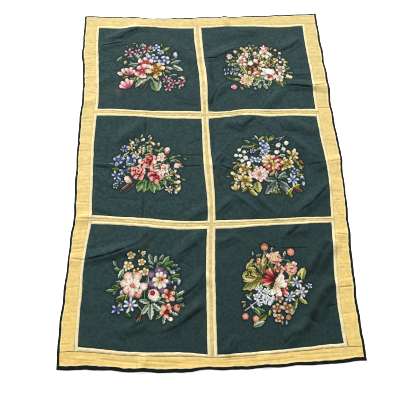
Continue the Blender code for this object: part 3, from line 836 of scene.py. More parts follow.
    "r2c2": """
        foliage 150 -60 52 20 olive; foliage 385 10 40 12 olive; foliage 255 90 50 12 moss;
        foliage 388 -80 36 10 moss; leaf 170 128 34 -30 fresh; leaf 212 84 28 70 olive; leaf 180 84 34 22 olive;
        leaf 204 60 30 40 brass; leaf 226 70 30 40 olive; leaf 240 120 34 46 lemon; leaf 272 148 30 -70 olive;
        leaf 286 122 34 36 lemon; leaf 290 140 30 14 moss; leaf 220 152 26 -50 ice; leaf 204 134 22 -10 slate;
        stem 318 134 40 0 sage 0.2; stem 336 120 40 60 sage -0.3; stem 340 70 34 70 sage; leaf 325 42 34 12 pale;
        leaf 350 58 22 60 sage; stem 140 60 50 56 sage; stem 156 42 44 40 sage; stem 160 18 40 20 sage;
        leaf 162 86 28 24 slate; leaf 130 24 26 10 sage; leaf 114 -24 34 50 olive; leaf 112 10 20 0 tan;
        leaf 132 14 28 -60 brass; leaf 158 -14 30 64 brass; leaf 200 4 30 -60 olive; leaf 246 34 34 -62 olive;
        leaf 250 0 30 90 moss; stem 268 -50 60 80 fresh; leaf 276 -56 34 40 lemon; leaf 270 -28 24 60 fresh;
        leaf 386 34 30 -50 olive; leaf 392 22 26 60 lemon; leaf 402 14 24 -50 brass; leaf 412 16 28 -30 rust;
        leaf 412 -22 26 20 olive; leaf 420 -4 22 -80 lemon; leaf 396 -60 36 16 olive; leaf 366 -52 30 20 moss;
        broad 218 -84 52 -84 lemon; leaf 206 -90 34 -110 olive; leaf 150 -134 34 50 brass; leaf 176 -110 36 -40 brass;
        leaf 182 -124 44 -40 lemon; leaf 116 -96 34 40 sage; leaf 150 -112 30 80 tan; leaf 276 -142 30 30 olive;
        leaf 296 -142 30 50 lemon; leaf 300 -122 30 -50 brown; leaf 344 -148 46 46 lemon; leaf 372 -118 44 26 brass;
        leaf 378 -116 44 -24 brown; leaf 352 -134 34 -60 olive; leaf 308 -76 60 176 slate; leaf 306 -82 84 -131 slate;
        leaf 302 -84 54 -112 slate; leaf 318 -80 66 -60 slate; leaf 322 -84 52 -40 slate; leaf 314 -74 54 46 slate;
        leaf 308 -68 38 86 slate; leaf 324 -66 36 12 slate; leaf 302 -90 34 -92 sage; open 262 104 21 20 blue navy;
        open 272 88 19 60 ice navy; open 258 84 18 30 blue navy; open 266 66 18 10 ice navy;
        open 252 52 13 70 blue navy; open 207 27 15 40 ice navy; open 229 25 15 10 ice navy;
        open 208 72 13 10 lilac ice; dab 147 76 8 0 white 0.5 0.9; dab 169 66 8 0 white 0.5 0.9;
        dab 131 48 8 0 white 0.5 0.9; dab 150 47 8 0 ivory 0.5 0.9; dab 174 36 10 0 ivory 0.5 0.9;
        dab 157 21 8 0 white 0.5 0.9; dab 187 8 10 0 white 0.6 1.0; dab 327 98 10 0 ivory 0.5 0.9;
        dab 333 104 7 0 white; dab 366 108 10 0 ivory 0.5 0.9; dab 352 80 8 0 white 0.5 0.9;
        dab 317 63 9 0 white 0.6 1.0; dab 326 66 6 0 ivory; petal 386 46 32 124 straw 16; petal 390 46 34 66 ivory 17;
        petal 394 46 24 24 straw 14; petal 390 50 30 -120 straw 13; petal 394 46 24 -40 cream 12;
        open 360 4 28 20 straw brass; petal 366 4 26 44 straw 12; petal 354 0 26 150 straw 12;
        petal 352 -8 28 -130 straw 14; petal 368 0 26 -30 straw 12; petal 344 22 18 60 cream 8;
        petal 352 22 14 80 cream 7; petal 128 -52 30 150 cream 16; petal 124 -46 44 -36 ivory 16;
        petal 126 -48 28 -100 straw 14; petal 130 -42 30 26 straw 15; petal 120 -60 20 -60 straw 12;
        open 168 -22 27 40 straw brass; petal 178 -20 28 66 ivory 13; petal 182 -34 24 -66 ivory 12;
        petal 160 -30 26 -104 straw 13; petal 178 -16 20 10 straw 9; open 166 -78 28 10 straw rust;
        petal 170 -70 30 24 cream 14; petal 158 -72 26 160 straw 13; petal 162 -88 26 -110 straw 13;
        petal 178 -88 24 -50 cream 12; petal 124 -128 34 100 straw 16; petal 122 -124 26 140 straw 13;
        petal 126 -124 26 66 straw 12; petal 124 -100 16 90 cream 9; petal 296 8 44 -50 crimson 22;
        petal 298 12 42 -20 crimson 20; petal 298 16 40 12 crimson 18; petal 296 20 36 40 crimson 16;
        petal 290 4 40 -76 crimson 22; petal 286 4 38 -104 crimson 18; petal 282 8 32 -130 crimson 16;
        petal 290 20 32 62 pink 16; petal 284 20 32 92 coral 18; petal 282 18 36 116 peach 18;
        petal 280 18 38 142 peach 20; petal 278 14 32 170 peach 18; petal 282 8 32 -160 coral 15;
        petal 300 16 28 20 pink 12; petal 300 8 28 -20 pink 12; petal 296 2 28 -56 coral 13;
        petal 290 20 26 130 straw 16; petal 286 12 24 172 straw 14; petal 292 22 24 80 straw 14;
        petal 298 10 22 30 straw 14; petal 298 2 24 -30 peach 13; petal 292 0 24 -80 straw 13;
        petal 286 4 22 -130 straw 13; dab 291 17 7 0 straw 0.4 0.7; dab 297 4 7 0 straw 0.6 0.3; dab 303 -6 5 0 olive;
        double 234 -44 38 12 pink; double 233 -44 27 40 blush rust; petal 236 -50 26 60 shell 14;
        petal 230 -52 26 -50 peach 16; petal 226 -46 26 -120 shell 14; dab 233 -42 7 0 tan 0.6 0.3;
        open 394 -35 16 30 lilac navy; aster 380 -76 28 8 ice navy; petal 414 -72 18 60 ice 9;
        petal 420 -84 22 -70 ice 10; petal 430 -78 22 -100 blue 10; petal 426 -74 16 100 ice 9
    """,
    "r3c1": """
        foliage -305 -440 36 8 moss; foliage -165 -600 46 14 moss; foliage -366 -560 40 12 moss;
        foliage -180 -480 42 10 fresh; leaf -388 -456 30 124 sage; leaf -400 -466 22 4 pale;
        leaf -392 -480 28 30 moss; leaf -380 -506 46 62 pale; leaf -368 -494 26 -50 moss; leaf -392 -520 30 -4 sage;
        leaf -402 -534 34 -22 moss; leaf -428 -556 34 4 fresh; leaf -398 -574 22 60 slate;
        leaf -372 -560 30 -50 fresh; leaf -348 -596 34 70 olive; leaf -386 -590 40 20 olive;
        leaf -376 -600 30 -60 olive; leaf -352 -640 34 -36 moss; stem -272 -550 60 -92 moss;
        stem -262 -480 56 -84 sage; leaf -246 -446 44 104 sage; leaf -230 -446 34 88 pale; leaf -262 -436 28 -28 pale;
        leaf -262 -456 26 -20 sage; leaf -226 -450 26 12 slate; leaf -214 -436 34 56 slate;
        leaf -202 -452 46 50 fresh; leaf -198 -464 52 30 moss; leaf -188 -462 26 -40 fresh; leaf -170 -508 44 18 moss;
        leaf -164 -512 40 -10 fresh; leaf -262 -500 36 -90 sage; leaf -142 -580 34 30 pale;
        leaf -150 -560 34 -76 moss; leaf -146 -602 30 20 sage; leaf -196 -604 26 20 moss; leaf -218 -602 30 -20 sage;
        leaf -204 -652 30 -140 fresh; leaf -192 -656 34 -98 pale; leaf -166 -646 30 -24 pale;
        leaf -128 -612 20 -50 slate; stem -302 -612 38 -52 olive; stem -280 -642 44 -122 rust;
        stem -282 -640 34 -108 rust; stem -284 -638 40 -100 brown; leaf -306 -600 26 -72 moss;
        leaf -252 -606 44 165 pale; leaf -252 -610 52 -126 pale; leaf -248 -612 62 -88 pale;
        leaf -244 -610 52 -38 pale; leaf -246 -602 46 22 pale; open -331 -411 17 20 cream gold;
        open -341 -453 20 60 cream gold; petal -347 -462 16 -110 cream 9; open -287 -440 16 10 cream gold;
        open -281 -402 10 40 cream gold; petal -299 -402 12 90 lemon 8; open -307 -479 15 70 gold;
        open -273 -481 18 30 cream gold; dab -247 -493 14 0 purple 0.8 0.3; dab -216 -478 17 0 purple 0.75 0.3;
        dab -192 -488 12 0 purple 0.6 0.3; dab -243 -530 14 0 purple 0.9 0.3; dab -178 -523 12 0 purple 0.7 0.2;
        dab -203 -556 14 0 purple 0.6 0.2; dab -228 -549 9 0 purple 0.5 0.1; petal -222 -486 16 60 lilac 8;
        petal -246 -534 16 70 purple 8; petal -210 -512 30 120 ivory 18; petal -214 -516 28 170 ivory 18;
        petal -212 -520 30 -140 cream 18; petal -208 -520 32 -100 ivory 18; petal -204 -520 30 -60 ivory 18;
        petal -202 -516 26 -14 ivory 16; petal -204 -510 24 40 cream 14; petal -208 -508 26 84 ivory 14;
        petal -218 -500 30 -50 coral 14; dab -203 -514 6 0 red 0.2 0.5; dab -214 -500 5 0 peach;
        dab -340 -499 19 0 shell 1.0 0.2; dab -303 -500 19 0 shell 0.95 0.15; dab -356 -527 16 0 shell 1.0 0.2;
        dab -277 -541 16 0 shell 1.05 0.3; dab -344 -553 17 0 shell 0.9 0.1; dab -322 -567 17 0 shell 0.9 0.0;
        dab -298 -574 14 0 peach 0.6 0.1; dab -292 -560 10 0 shell 0.9 0.5; double -320 -534 30 8 ivory coral;
        petal -334 -548 16 -150 peach 8; petal -300 -552 16 -50 peach 8; petal -334 -534 24 -24 coral 13;
        petal -322 -540 18 -24 red 8; dab -322 -532 7 0 coral 0.7 0.4; dab -236 -575 22 0 peach 0.6 0.95;
        dab -232 -584 15 0 shell 1.0 0.7; dab -241 -568 11 0 red 0.5 0.2; petal -252 -572 14 -60 shell 7;
        dab -252 -560 5 0 coral; open -177 -580 27 40 coral; dab -164 -592 9 0 peach 0.9 0.4;
        petal -184 -572 26 -26 red 10; petal -190 -576 16 -60 peach 10; dab -156 -570 6 0 peach;
        open -187 -638 27 60 coral; dab -196 -630 11 0 peach 0.7 0.4; dab -172 -628 8 0 coral 0.8 0.5;
        dab -182 -644 10 0 crimson 0.5 0.1; dab -142 -628 13 0 coral 0.8 0.5; dab -137 -624 5 0 crimson 0.6 0.2;
        dab -168 -672 8 0 shell 0.9 0.5; dab -176 -668 5 0 coral; petal -152 -562 22 84 tan 10;
        petal -172 -478 20 -40 ice 12; petal -164 -492 16 30 ice 10; petal -156 -470 24 48 navy 9;
        petal -150 -480 14 20 navy 8; petal -136 -540 24 82 ice 12; petal -160 -538 18 94 blue 7;
        aster -328 -613 30 40 ice peach; star -379 -629 23 70 lilac; petal -370 -576 22 74 ice 10
    """,
    "r3c2": """
        foliage 270 -640 40 10 moss; foliage 340 -560 44 10 olive; foliage 270 -460 50 10 moss;
        leaf 176 -420 20 94 pale; leaf 188 -426 26 24 sage; leaf 254 -408 26 70 sage; leaf 242 -424 30 132 sage;
        leaf 302 -428 28 62 pale; stem 292 -440 34 -8 sage; stem 150 -490 46 66 olive -0.3;
        leaf 146 -478 44 66 lemon -0.25; leaf 148 -478 38 4 lemon; leaf 154 -484 32 -8 olive;
        leaf 146 -484 34 -126 lemon; leaf 150 -488 26 -74 olive; petal 160 -442 18 14 tan 9;
        leaf 250 -494 50 100 olive; leaf 236 -474 36 70 moss; leaf 262 -486 30 70 olive; leaf 318 -550 56 74 olive;
        leaf 308 -552 40 10 moss; leaf 320 -588 40 18 olive; leaf 336 -572 30 0 lemon; leaf 350 -600 40 -36 lemon;
        blade 344 -600 74 -114 lemon; blade 334 -602 54 -100 moss; leaf 354 -514 50 50 lemon;
        leaf 372 -526 54 74 lemon; leaf 130 -588 22 10 olive; leaf 150 -594 24 60 olive; leaf 116 -612 18 0 lemon;
        leaf 122 -634 20 60 brass; stem 128 -646 40 34 ice; stem 150 -624 54 -50 sage; stem 160 -622 46 30 white;
        leaf 164 -638 48 -16 moss; leaf 160 -634 40 -42 fresh; leaf 214 -662 68 -142 olive; leaf 158 -708 50 22 pale;
        leaf 224 -668 26 72 lemon; leaf 290 -704 18 84 ice; leaf 275 -704 16 90 tan; leaf 238 -560 36 130 lemon;
        petal 160 -606 26 140 ice 9; petal 152 -618 22 -60 ice 9; petal 228 -628 44 60 ice 15;
        petal 232 -632 30 80 blue 9; broad 214 -518 62 200 olive; leaf 205 -524 62 216 lemon;
        leaf 194 -528 78 205 olive; leaf 190 -532 36 240 lemon; leaf 202 -530 36 256 olive;
        leaf 168 -542 32 236 lemon; leaf 206 -506 46 168 brass; leaf 192 -508 34 136 brass;
        leaf 184 -514 56 192 brass; leaf 174 -518 46 174 straw; stem 206 -508 66 190 brown -0.1;
        stem 204 -514 76 207 brown; stem 208 -500 44 120 brown; stem 210 -494 50 82 brown; stem 212 -516 92 206 moss;
        blade 212 -502 90 83 brass; leaf 212 -490 46 112 lemon; leaf 206 -474 36 140 brass; leaf 214 -466 40 66 brass;
        leaf 206 -486 34 104 olive; petal 194 -460 28 76 peach 16; petal 200 -468 24 30 tan 12;
        petal 200 -446 16 120 rust 6; dab 227 -385 15 0 coral 0.75 0.4; dab 229 -383 8 0 peach 0.5 0.3;
        dab 336 -409 15 0 coral 0.75 0.5; dab 333 -406 8 0 peach 0.6 0.3; dab 129 -668 12 0 coral 0.8 0.5;
        dab 129 -666 6 0 peach 0.6 0.4; dab 170 -678 12 0 coral 0.75 0.5; dab 172 -676 6 0 peach;
        dab 266 -432 25 0 coral 0.6 0.75; petal 262 -430 32 160 peach 20; petal 266 -434 30 -20 coral 20;
        petal 256 -424 34 30 peach 12; dab 266 -431 15 0 peach 0.4 0.8; dab 264 -430 9 0 gold 0.9 0.5;
        petal 250 -444 34 -14 crimson 6; petal 276 -422 18 -60 red 6; dab 330 -480 24 0 coral 0.55 0.75;
        petal 334 -476 30 64 peach 16; petal 318 -486 26 160 coral 14; dab 330 -482 15 0 peach 0.3 0.75;
        petal 320 -476 34 -6 red 6; petal 318 -490 28 -20 red 6; petal 340 -470 22 40 pink 12;
        petal 314 -470 18 70 peach 9; open 281 -477 20 20 tan olive; open 271 -597 18 60 tan rust;
        open 259 -638 20 10 tan brass; open 300 -637 22 40 tan brass; petal 304 -650 20 -40 tan 10;
        open 262 -677 18 70 tan gold; dab 301 -675 10 0 tan 0.6 0.3; dab 246 -665 6 0 peach;
        florets 205 -588 38 9 white; florets 208 -590 22 4 ivory; dab 198 -596 4 0 navy; dab 216 -580 4 0 navy;
        dab 190 -578 4 0 navy; dab 212 -604 5 0 navy; dab 222 -596 3 0 navy; dab 200 -570 3 0 slate;
        dab 182 -560 6 0 white; dab 230 -620 7 0 white; dab 213 -616 7 0 white; aster 346 -536 24 20 ice tan;
        aster 364 -576 26 50 ice cream; aster 314 -594 23 10 ice tan; star 399 -552 12 30 ice;
        petal 262 -520 52 134 crimson 24; petal 256 -512 40 116 coral 12; petal 264 -506 30 100 crimson 10;
        petal 258 -528 58 178 crimson 24; petal 252 -532 46 196 coral 14; petal 258 -524 42 156 crimson 10;
        petal 246 -532 30 206 pink 8; petal 272 -518 30 50 coral 14; petal 282 -530 36 -6 crimson 20;
        petal 290 -530 24 10 coral 9; petal 282 -544 50 -66 crimson 22; petal 288 -552 34 -60 coral 10;
        petal 290 -546 26 -40 red 9; petal 258 -542 54 44 ivory 26; petal 262 -548 46 8 ivory 26;
        petal 264 -544 40 26 ivory 14; petal 266 -546 46 -122 ivory 24; petal 262 -544 50 -72 ivory 22;
        petal 256 -550 30 -100 cream 12; petal 282 -526 20 60 cream 7; dab 258 -545 5 0 olive
    """,
}


def worked_span(worked):
    """The first and last stitch line round the stitches of new wool, moved out to whole coarse steps."""
    found = np.flatnonzero(worked)
    return found[0] // COARSE * COARSE, -(-(found[-1] + 1) // COARSE) * COARSE


def stitch_lines(span):
    """Every coarse line of a panel, and every line of the span."""
    return np.union1d(np.arange(0, STITCHES + 1, COARSE), np.arange(span[0], span[1] + 1))


def drawn_in(lines, start):
    """Stitch lines as places, the first and last drawn in by half a seam gap."""
    places = start + lines * PITCH
    places[0] += SEAM_GAP / 2
    places[-1] -= SEAM_GAP / 2
    return places


WOOL_THIN, WOOL_THICK, WOOL_RAISED = 0.0024, 0.0027, 0.0005
STAIN = (-418, 396, 12, 25)
STAIN_COLOUR = (112, 92, 78)


def needlework_panel(place, table):
    """One panel: its stitches, the finer grid where the bouquet is, and each worked stitch's colour on its face."""
    row, column = int(place[1]) - 1, int(place[3]) - 1
    left, bottom = COLUMN_CENTRES[column] - PANEL / 2, ROW_CENTRES[row] - PANEL / 2
    centres = (np.arange(STITCHES) + 0.5) * PITCH
    canvas = Canvas(left + centres, bottom + centres, 20 * row + column)
    embroider(canvas, table)
    over, up = (stitch_lines(worked_span(canvas.worked.any(axis=side))) for side in (0, 1))

    shade = np.random.default_rng(10 * row + column).uniform(0.86, 1.14, canvas.worked.shape)
    wool = np.dstack([from_srgb(canvas.colour) * shade[..., None], canvas.worked])
    stain = np.exp(-(((canvas.x - STAIN[0]) / STAIN[2]) ** 2) - ((canvas.y - STAIN[1]) / STAIN[3]) ** 2)
    stained = (canvas.worked == 0) & (stain > 0.05)
    wool[stained, :3] = from_srgb(STAIN_COLOUR)
    wool[stained, 3] = 0.5 * stain[stained]

    around = np.pad(canvas.worked == 1, 1).astype(float)
    around = (around[:-1, :-1] + around[:-1, 1:] + around[1:, :-1] + around[1:, 1:])[np.ix_(up, over)] / 4
    wide, high = np.meshgrid(over * PITCH, up * PITCH)
    inside = np.minimum(np.minimum(wide, PANEL - wide), np.minimum(high, PANEL - high))
    pile = np.interp(inside, (0, 0.006), (WOOL_THIN, WOOL_THICK)) + WOOL_RAISED * around
    piece = closed_cloth(
        "needlework_" + place, drawn_in(over, left), drawn_in(up, bottom), pile, weave=(wide, high)
    )
    cells = wool[np.ix_(up[:-1], over[:-1])].reshape(-1, 4)
    corners = np.zeros((len(piece.data.loops), 4), np.float32)
    corners[: 4 * len(cells)] = np.repeat(cells, 4, axis=0)
    piece.data.attributes.new("wool", "FLOAT_COLOR", "CORNER").data.foreach_set("color", corners.ravel())
    return piece


def paint(*colour):
    """A shader colour from a screen colour out of 255."""
    return (*from_srgb(colour), 1.0)


def add(tree, kind, settings=(), **sockets):
    """A shader node with these settings. A socket is named, or numbered as in _0, and takes a value or an output."""
    node = tree.nodes.new("ShaderNode" + kind)
    for name, value in dict(settings).items():
        setattr(node, name, value)
    for name, value in sockets.items():
        socket = node.inputs[int(name[1:]) if name[0] == "_" else name.replace("_", " ")]
        if isinstance(value, bpy.types.NodeSocket):
            tree.links.new(value, socket)
        else:
            socket.default_value = value
    return node


def maths(tree, operation, a, b=0.0, c=0.0):
    """The operation on up to three values, as an output."""
    return add(tree, "Math", {"operation": operation}, _0=a, _1=b, _2=c).outputs[0]


def step(tree, value, start, end, low=0.0, high=1.0):
    """Eases from low to high as value goes from start to end."""
    settings = {"interpolation_type": "SMOOTHSTEP"}
    return add(tree, "MapRange", settings, Value=value, _1=start, _2=end, _3=low, _4=high).outputs[0]


def mix(tree, factor, a, b, blend="MIX"):
    """Colour a with that share of b, or of a times b where blend is MULTIPLY."""
    return add(tree, "Mix", {"data_type": "RGBA", "blend_type": blend}, _0=factor, _6=a, _7=b).outputs[2]


def noise(tree, vector, scale, detail=2.0, roughness=0.5):
    """A smooth uneven value about 0.5, with scale lumps to a unit of the vector."""
    return add(tree, "TexNoise", Vector=vector, Scale=scale, Detail=detail, Roughness=roughness).outputs["Fac"]


def ramp(tree, factor, *stops):
    """Colours read off a ramp of (place, screen colour out of 255) stops."""
    node = add(tree, "ValToRGB", Fac=factor)
    elements = node.color_ramp.elements
    elements[0].position, elements[1].position = stops[0][0], stops[-1][0]
    for place, _ in stops[1:-1]:
        elements.new(place)
    for element, (_, colour) in zip(elements, stops):
        element.color = paint(*colour)
    return node.outputs["Color"]


def node_group(name, inputs, outputs):
    """A shader node group with named inputs and outputs, as (its tree, what it is given, what it gives)."""
    tree = bpy.data.node_groups.new(name, "ShaderNodeTree")
    for title, kind in inputs:
        tree.interface.new_socket(title, in_out="INPUT", socket_type="NodeSocket" + kind)
    for title, kind in outputs:
        tree.interface.new_socket(title, in_out="OUTPUT", socket_type="NodeSocket" + kind)
    return tree, tree.nodes.new("NodeGroupInput").outputs, tree.nodes.new("NodeGroupOutput").inputs


def cloth_material(name, roughness, sheen):
    """A matte cloth with a light sheen, as (the material, its tree, its shader)."""
    material = bpy.data.materials.new(name)
    material.use_nodes = True
    shader = material.node_tree.nodes["Principled BSDF"]
    shader.inputs["Roughness"].default_value = roughness
    shader.inputs["Specular IOR Level"].default_value = 0.15
    shader.inputs["Sheen Weight"].default_value = sheen
    shader.inputs["Sheen Roughness"].default_value = 0.5
    return material, material.node_tree, shader


def trough_shade(tree, face, most):
    """The colour multiplied towards a grey-green by up to that share where the cloth is sunk: painted shade in the
    troughs.
    """
    sunk = add(tree, "Attribute", {"attribute_name": "sunk"}).outputs["Fac"]
    return mix(tree, maths(tree, "MULTIPLY", sunk, most), face, paint(88, 106, 97), "MULTIPLY")


def bumped(tree, shader, height, depth):
    """Height 0 to 1 as a relief of that depth in metres on the material's shader."""
    tree.links.new(add(tree, "Bump", Height=height, Distance=depth).outputs[0], shader.inputs["Normal"])


# One slanted stitch fills each square of the canvas from its lower left to its upper right corner
stitch_relief, given, gives = node_group(
    "stitch relief", [("Stitches", "Vector")], [("Height", "Float"), ("Shade", "Float")]
)
cell = add(stitch_relief, "VectorMath", {"operation": "FRACTION"}, _0=given["Stitches"]).outputs[0]
number = add(stitch_relief, "VectorMath", {"operation": "FLOOR"}, _0=given["Stitches"]).outputs[0]
apart = add(stitch_relief, "SeparateXYZ", Vector=cell).outputs
chance = add(stitch_relief, "TexWhiteNoise", Vector=number).outputs["Value"]
lengthways = maths(stitch_relief, "SUBTRACT", maths(stitch_relief, "ADD", apart[0], apart[1]), 1.0)
sideways = maths(stitch_relief, "SUBTRACT", apart[0], apart[1])
oval = maths(stitch_relief, "MULTIPLY_ADD", maths(stitch_relief, "MULTIPLY", lengthways, lengthways), -0.7, 1.0)
oval = maths(
    stitch_relief, "SUBTRACT", oval, maths(stitch_relief, "MULTIPLY", maths(stitch_relief, "POWER", sideways, 2.0), 3.2)
)
oval = maths(stitch_relief, "SQRT", maths(stitch_relief, "MAXIMUM", oval, 0.0))
oval = maths(stitch_relief, "MULTIPLY", oval, maths(stitch_relief, "MULTIPLY_ADD", chance, 0.3, 0.7))
stitch_relief.links.new(oval, gives["Height"])
stitch_relief.links.new(chance, gives["Shade"])

wool_stitches, tree, shader = cloth_material("wool stitches", 0.9, 0.03)
cut = add(tree, "UVMap", {"uv_map": "weave"}).outputs[0]
stitches = add(tree, "VectorMath", {"operation": "SCALE"}, _0=cut, Scale=1 / PITCH).outputs[0]
relief = add(tree, "Group", {"node_tree": stitch_relief}, Stitches=stitches).outputs
place = add(tree, "TexCoord").outputs["Object"]
mottle = maths(tree, "MULTIPLY_ADD", relief["Shade"], 0.25, noise(tree, place, 75, 4, 0.65))
ground = ramp(tree, mottle, (0.42, (33, 55, 56)), (0.62, (43, 67, 68)), (0.85, (58, 83, 82)))
worn = noise(tree, place, 9, 3)
ground = mix(tree, step(tree, worn, 0.5, 0.75, 0, 0.2), ground, paint(70, 84, 70))
# Painted shade: the ground darkens towards the lower right of the hanging.
apart = add(tree, "SeparateXYZ", Vector=place).outputs
lower_right = maths(tree, "MULTIPLY_ADD", apart[0], 0.5, maths(tree, "MULTIPLY", apart[1], -0.8))
ground = mix(tree, step(tree, lower_right, -0.1, 0.75, 0.0, 0.46), ground, paint(24, 42, 38))
worked = add(tree, "VertexColor", {"layer_name": "wool"}).outputs
glint = ramp(tree, relief["Shade"], (0, (225, 225, 225)), (1, (255, 255, 255)))
tint = mix(tree, 1.0, worked["Color"], glint, "MULTIPLY")
face = mix(tree, worked["Alpha"], ground, tint)
# Painted shade along the panel's seams with the edging: the ground turns near-black olive within the last few
# millimetres of each side.
sides = add(tree, "SeparateXYZ", Vector=cut).outputs
from_sides, from_ends = (maths(tree, "MINIMUM", far, maths(tree, "SUBTRACT", PANEL, far)) for far in sides[:2])
nearest = maths(tree, "MINIMUM", from_sides, from_ends)
face = mix(tree, step(tree, nearest, 0.0015, 0.0035, 0.85, 0.0), face, paint(26, 30, 16))
tree.links.new(trough_shade(tree, face, 0.8), shader.inputs["Base Color"])
bumped(tree, shader, relief["Height"], 0.0003)

for place, table in BOUQUETS.items():
    piece = needlework_panel(place, table)
    piece.data.materials.append(wool_stitches)
    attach(piece, "root")
    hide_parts("panel_" + place)


# Cream edging: four narrow strips of cream cloth round each panel, folded double and sewn down on both sides, so
# that each stands a little proud and puckers between its stitches.
EDGING_THIN, EDGING_THICK = 0.0018, 0.0032


def strip(name, left, right, bottom, top, inner, pace, divisions, thickness):
    """One cut strip. Its grid has divisions across and a line at every pace along. thickness takes the share across,
    0 at the inner side to 1 at the outer one, and the metres along, and the strip map holds the same two."""
    upright = inner in ("left", "right")
    lines = [divisions, divisions]
    lines[upright] = round((top - bottom if upright else right - left) / pace)
    u = np.linspace(left + SEAM_GAP / 2, right - SEAM_GAP / 2, lines[0] + 1)
    v = np.linspace(bottom + SEAM_GAP / 2, top - SEAM_GAP / 2, lines[1] + 1)
    wide, high = np.meshgrid(u, v)
    across = {
        "left": (wide - left) / (right - left),
        "right": (right - wide) / (right - left),
        "bottom": (high - bottom) / (top - bottom),
        "top": (top - high) / (top - bottom),
    }[inner]
    along = high if upright else wide
    pile = thickness(across, along)
    return closed_cloth(name, u, v, pile, coarse=2, weave=(wide, high), strip=(across, along))


def edging_thickness(seed):
    """The thickness of one strip of edging, with lumps of its own."""

    def thickness(across, along):
        """A round pad, drawn in a little at every stitch and lumpy."""
        pad = np.sin(np.pi * across) ** 0.6
        lumps = 0.5 * waves(along, 0.3 * across * EDGING, seed, 9, 0.009, 0.040)
        return EDGING_THIN + (EDGING_THICK - EDGING_THIN) * pad * (0.85 + 0.3 * lumps)

    return thickness


# Plain weave: threads over and under one another, with a thicker one here and there
woven_relief, given, gives = node_group(
    "woven relief",
    [("Cut", "Vector"), ("Threads", "Float"), ("Uneven", "Float")],
    [("Height", "Float"), ("Slubs", "Float")],
)
threads = add(woven_relief, "VectorMath", {"operation": "SCALE"}, _0=given["Cut"], Scale=given["Threads"]).outputs[0]
lanes = add(woven_relief, "SeparateXYZ", Vector=threads).outputs
upright_thread = maths(woven_relief, "SINE", maths(woven_relief, "MULTIPLY", lanes[0], 2 * np.pi))
level_thread = maths(woven_relief, "SINE", maths(woven_relief, "MULTIPLY", lanes[1], 2 * np.pi))
crossing = maths(woven_relief, "MULTIPLY_ADD", maths(woven_relief, "MULTIPLY", upright_thread, level_thread), 0.5, 0.5)
long_slub = add(woven_relief, "VectorMath", {"operation": "MULTIPLY"}, _0=threads, _1=(0.05, 0.9, 1.0)).outputs[0]
slubs = noise(woven_relief, long_slub, 1.0, 1.0)
height = maths(woven_relief, "MULTIPLY_ADD", slubs, given["Uneven"], crossing)
woven_relief.links.new(height, gives["Height"])
woven_relief.links.new(slubs, gives["Slubs"])


def strip_inputs(tree, threads, uneven):
    """The object's place, the share across, the metres along, and the weave's relief."""
    cut = add(tree, "UVMap", {"uv_map": "weave"}).outputs[0]
    own = add(tree, "SeparateXYZ", Vector=add(tree, "UVMap", {"uv_map": "strip"}).outputs[0]).outputs
    weave = add(tree, "Group", {"node_tree": woven_relief}, Cut=cut, Threads=threads, Uneven=uneven).outputs
    return add(tree, "TexCoord").outputs["Object"], own[0], own[1], weave


cream_cloth, tree, shader = cloth_material("cream cloth", 0.8, 0.15)
place, across, along, weave = strip_inputs(tree, 900.0, 0.6)
mottle = noise(tree, place, 90, 4, 0.6)
face = ramp(tree, mottle, (0.25, (216, 198, 146)), (0.5, (243, 228, 178)), (0.75, (252, 240, 200)))
# Painted shade on the strip's rounded sides: greyer towards both edges, and greener and darker still at the side
# against the panel.
edge = maths(tree, "MULTIPLY", maths(tree, "ABSOLUTE", maths(tree, "SUBTRACT", across, 0.5)), 2.0)
face = mix(tree, step(tree, edge, 0.45, 1.0, 0.0, 0.6), face, paint(206, 204, 164))
face = mix(tree, step(tree, across, 0.16, 0.0, 0.0, 0.55), face, paint(150, 156, 120))
tree.links.new(trough_shade(tree, face, 0.5), shader.inputs["Base Color"])
bumped(tree, shader, weave["Height"], 0.00008)

for row, y in enumerate(ROW_CENTRES, 1):
    for column, x in enumerate(COLUMN_CENTRES, 1):
        for side, (left, right, bottom, top, inner) in {
            "left": (x - FRAMED / 2, x - PANEL / 2, y - FRAMED / 2, y + FRAMED / 2, "right"),
            "right": (x + PANEL / 2, x + FRAMED / 2, y - FRAMED / 2, y + FRAMED / 2, "left"),
            "bottom": (x - PANEL / 2, x + PANEL / 2, y - FRAMED / 2, y - PANEL / 2, "top"),
            "top": (x - PANEL / 2, x + PANEL / 2, y + PANEL / 2, y + FRAMED / 2, "bottom"),
        }.items():
            own = f"r{row}c{column}_{side}"
            piece = strip(
                "cream_edging_" + own, left, right, bottom, top, inner, 0.0035, 8,
                edging_thickness(100 * row + 10 * column + len(side)),
            )
            piece.data.materials.append(cream_cloth)
            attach(piece, "root")
            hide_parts("edging_" + own)


# Gold sashes: plain narrow strips of gold cloth sewn between the framed panels, one long upright one and four level
# ones that end on it.
GOLD_THIN, GOLD_THICK = 0.0018, 0.0023


def sash_thickness(across, along):
    """Drawn down along both seams, as the square root of a half sine, and slightly wavy along."""
    drawn_down = np.sin(np.pi * across) ** 0.5
    return GOLD_THIN + (GOLD_THICK - GOLD_THIN) * drawn_down + 0.15 * MM * waves(along, 0, 21, 9, 0.012, 0.050)


sash_cloth, tree, shader = cloth_material("sash cloth", 0.75, 0.15)
place, across, along, weave = strip_inputs(tree, 700.0, 0.8)
mottle = noise(tree, place, 60, 4, 0.6)
face = ramp(tree, mottle, (0.3, (196, 172, 104)), (0.5, (220, 196, 124)), (0.72, (236, 216, 150)))
# Darker in patches along both seams.
edge = maths(tree, "MULTIPLY", maths(tree, "ABSOLUTE", maths(tree, "SUBTRACT", across, 0.5)), 2.0)
patchy = step(tree, noise(tree, place, 22, 2), 0.35, 0.6, 0.35, 1.0)
patchy_seam_lines = maths(tree, "MULTIPLY", step(tree, edge, 0.7, 1.0, 0.0, 0.7), patchy)
face = mix(tree, patchy_seam_lines, face, paint(160, 142, 84))
tree.links.new(face, shader.inputs["Base Color"])
bumped(tree, shader, weave["Height"], 0.00010)

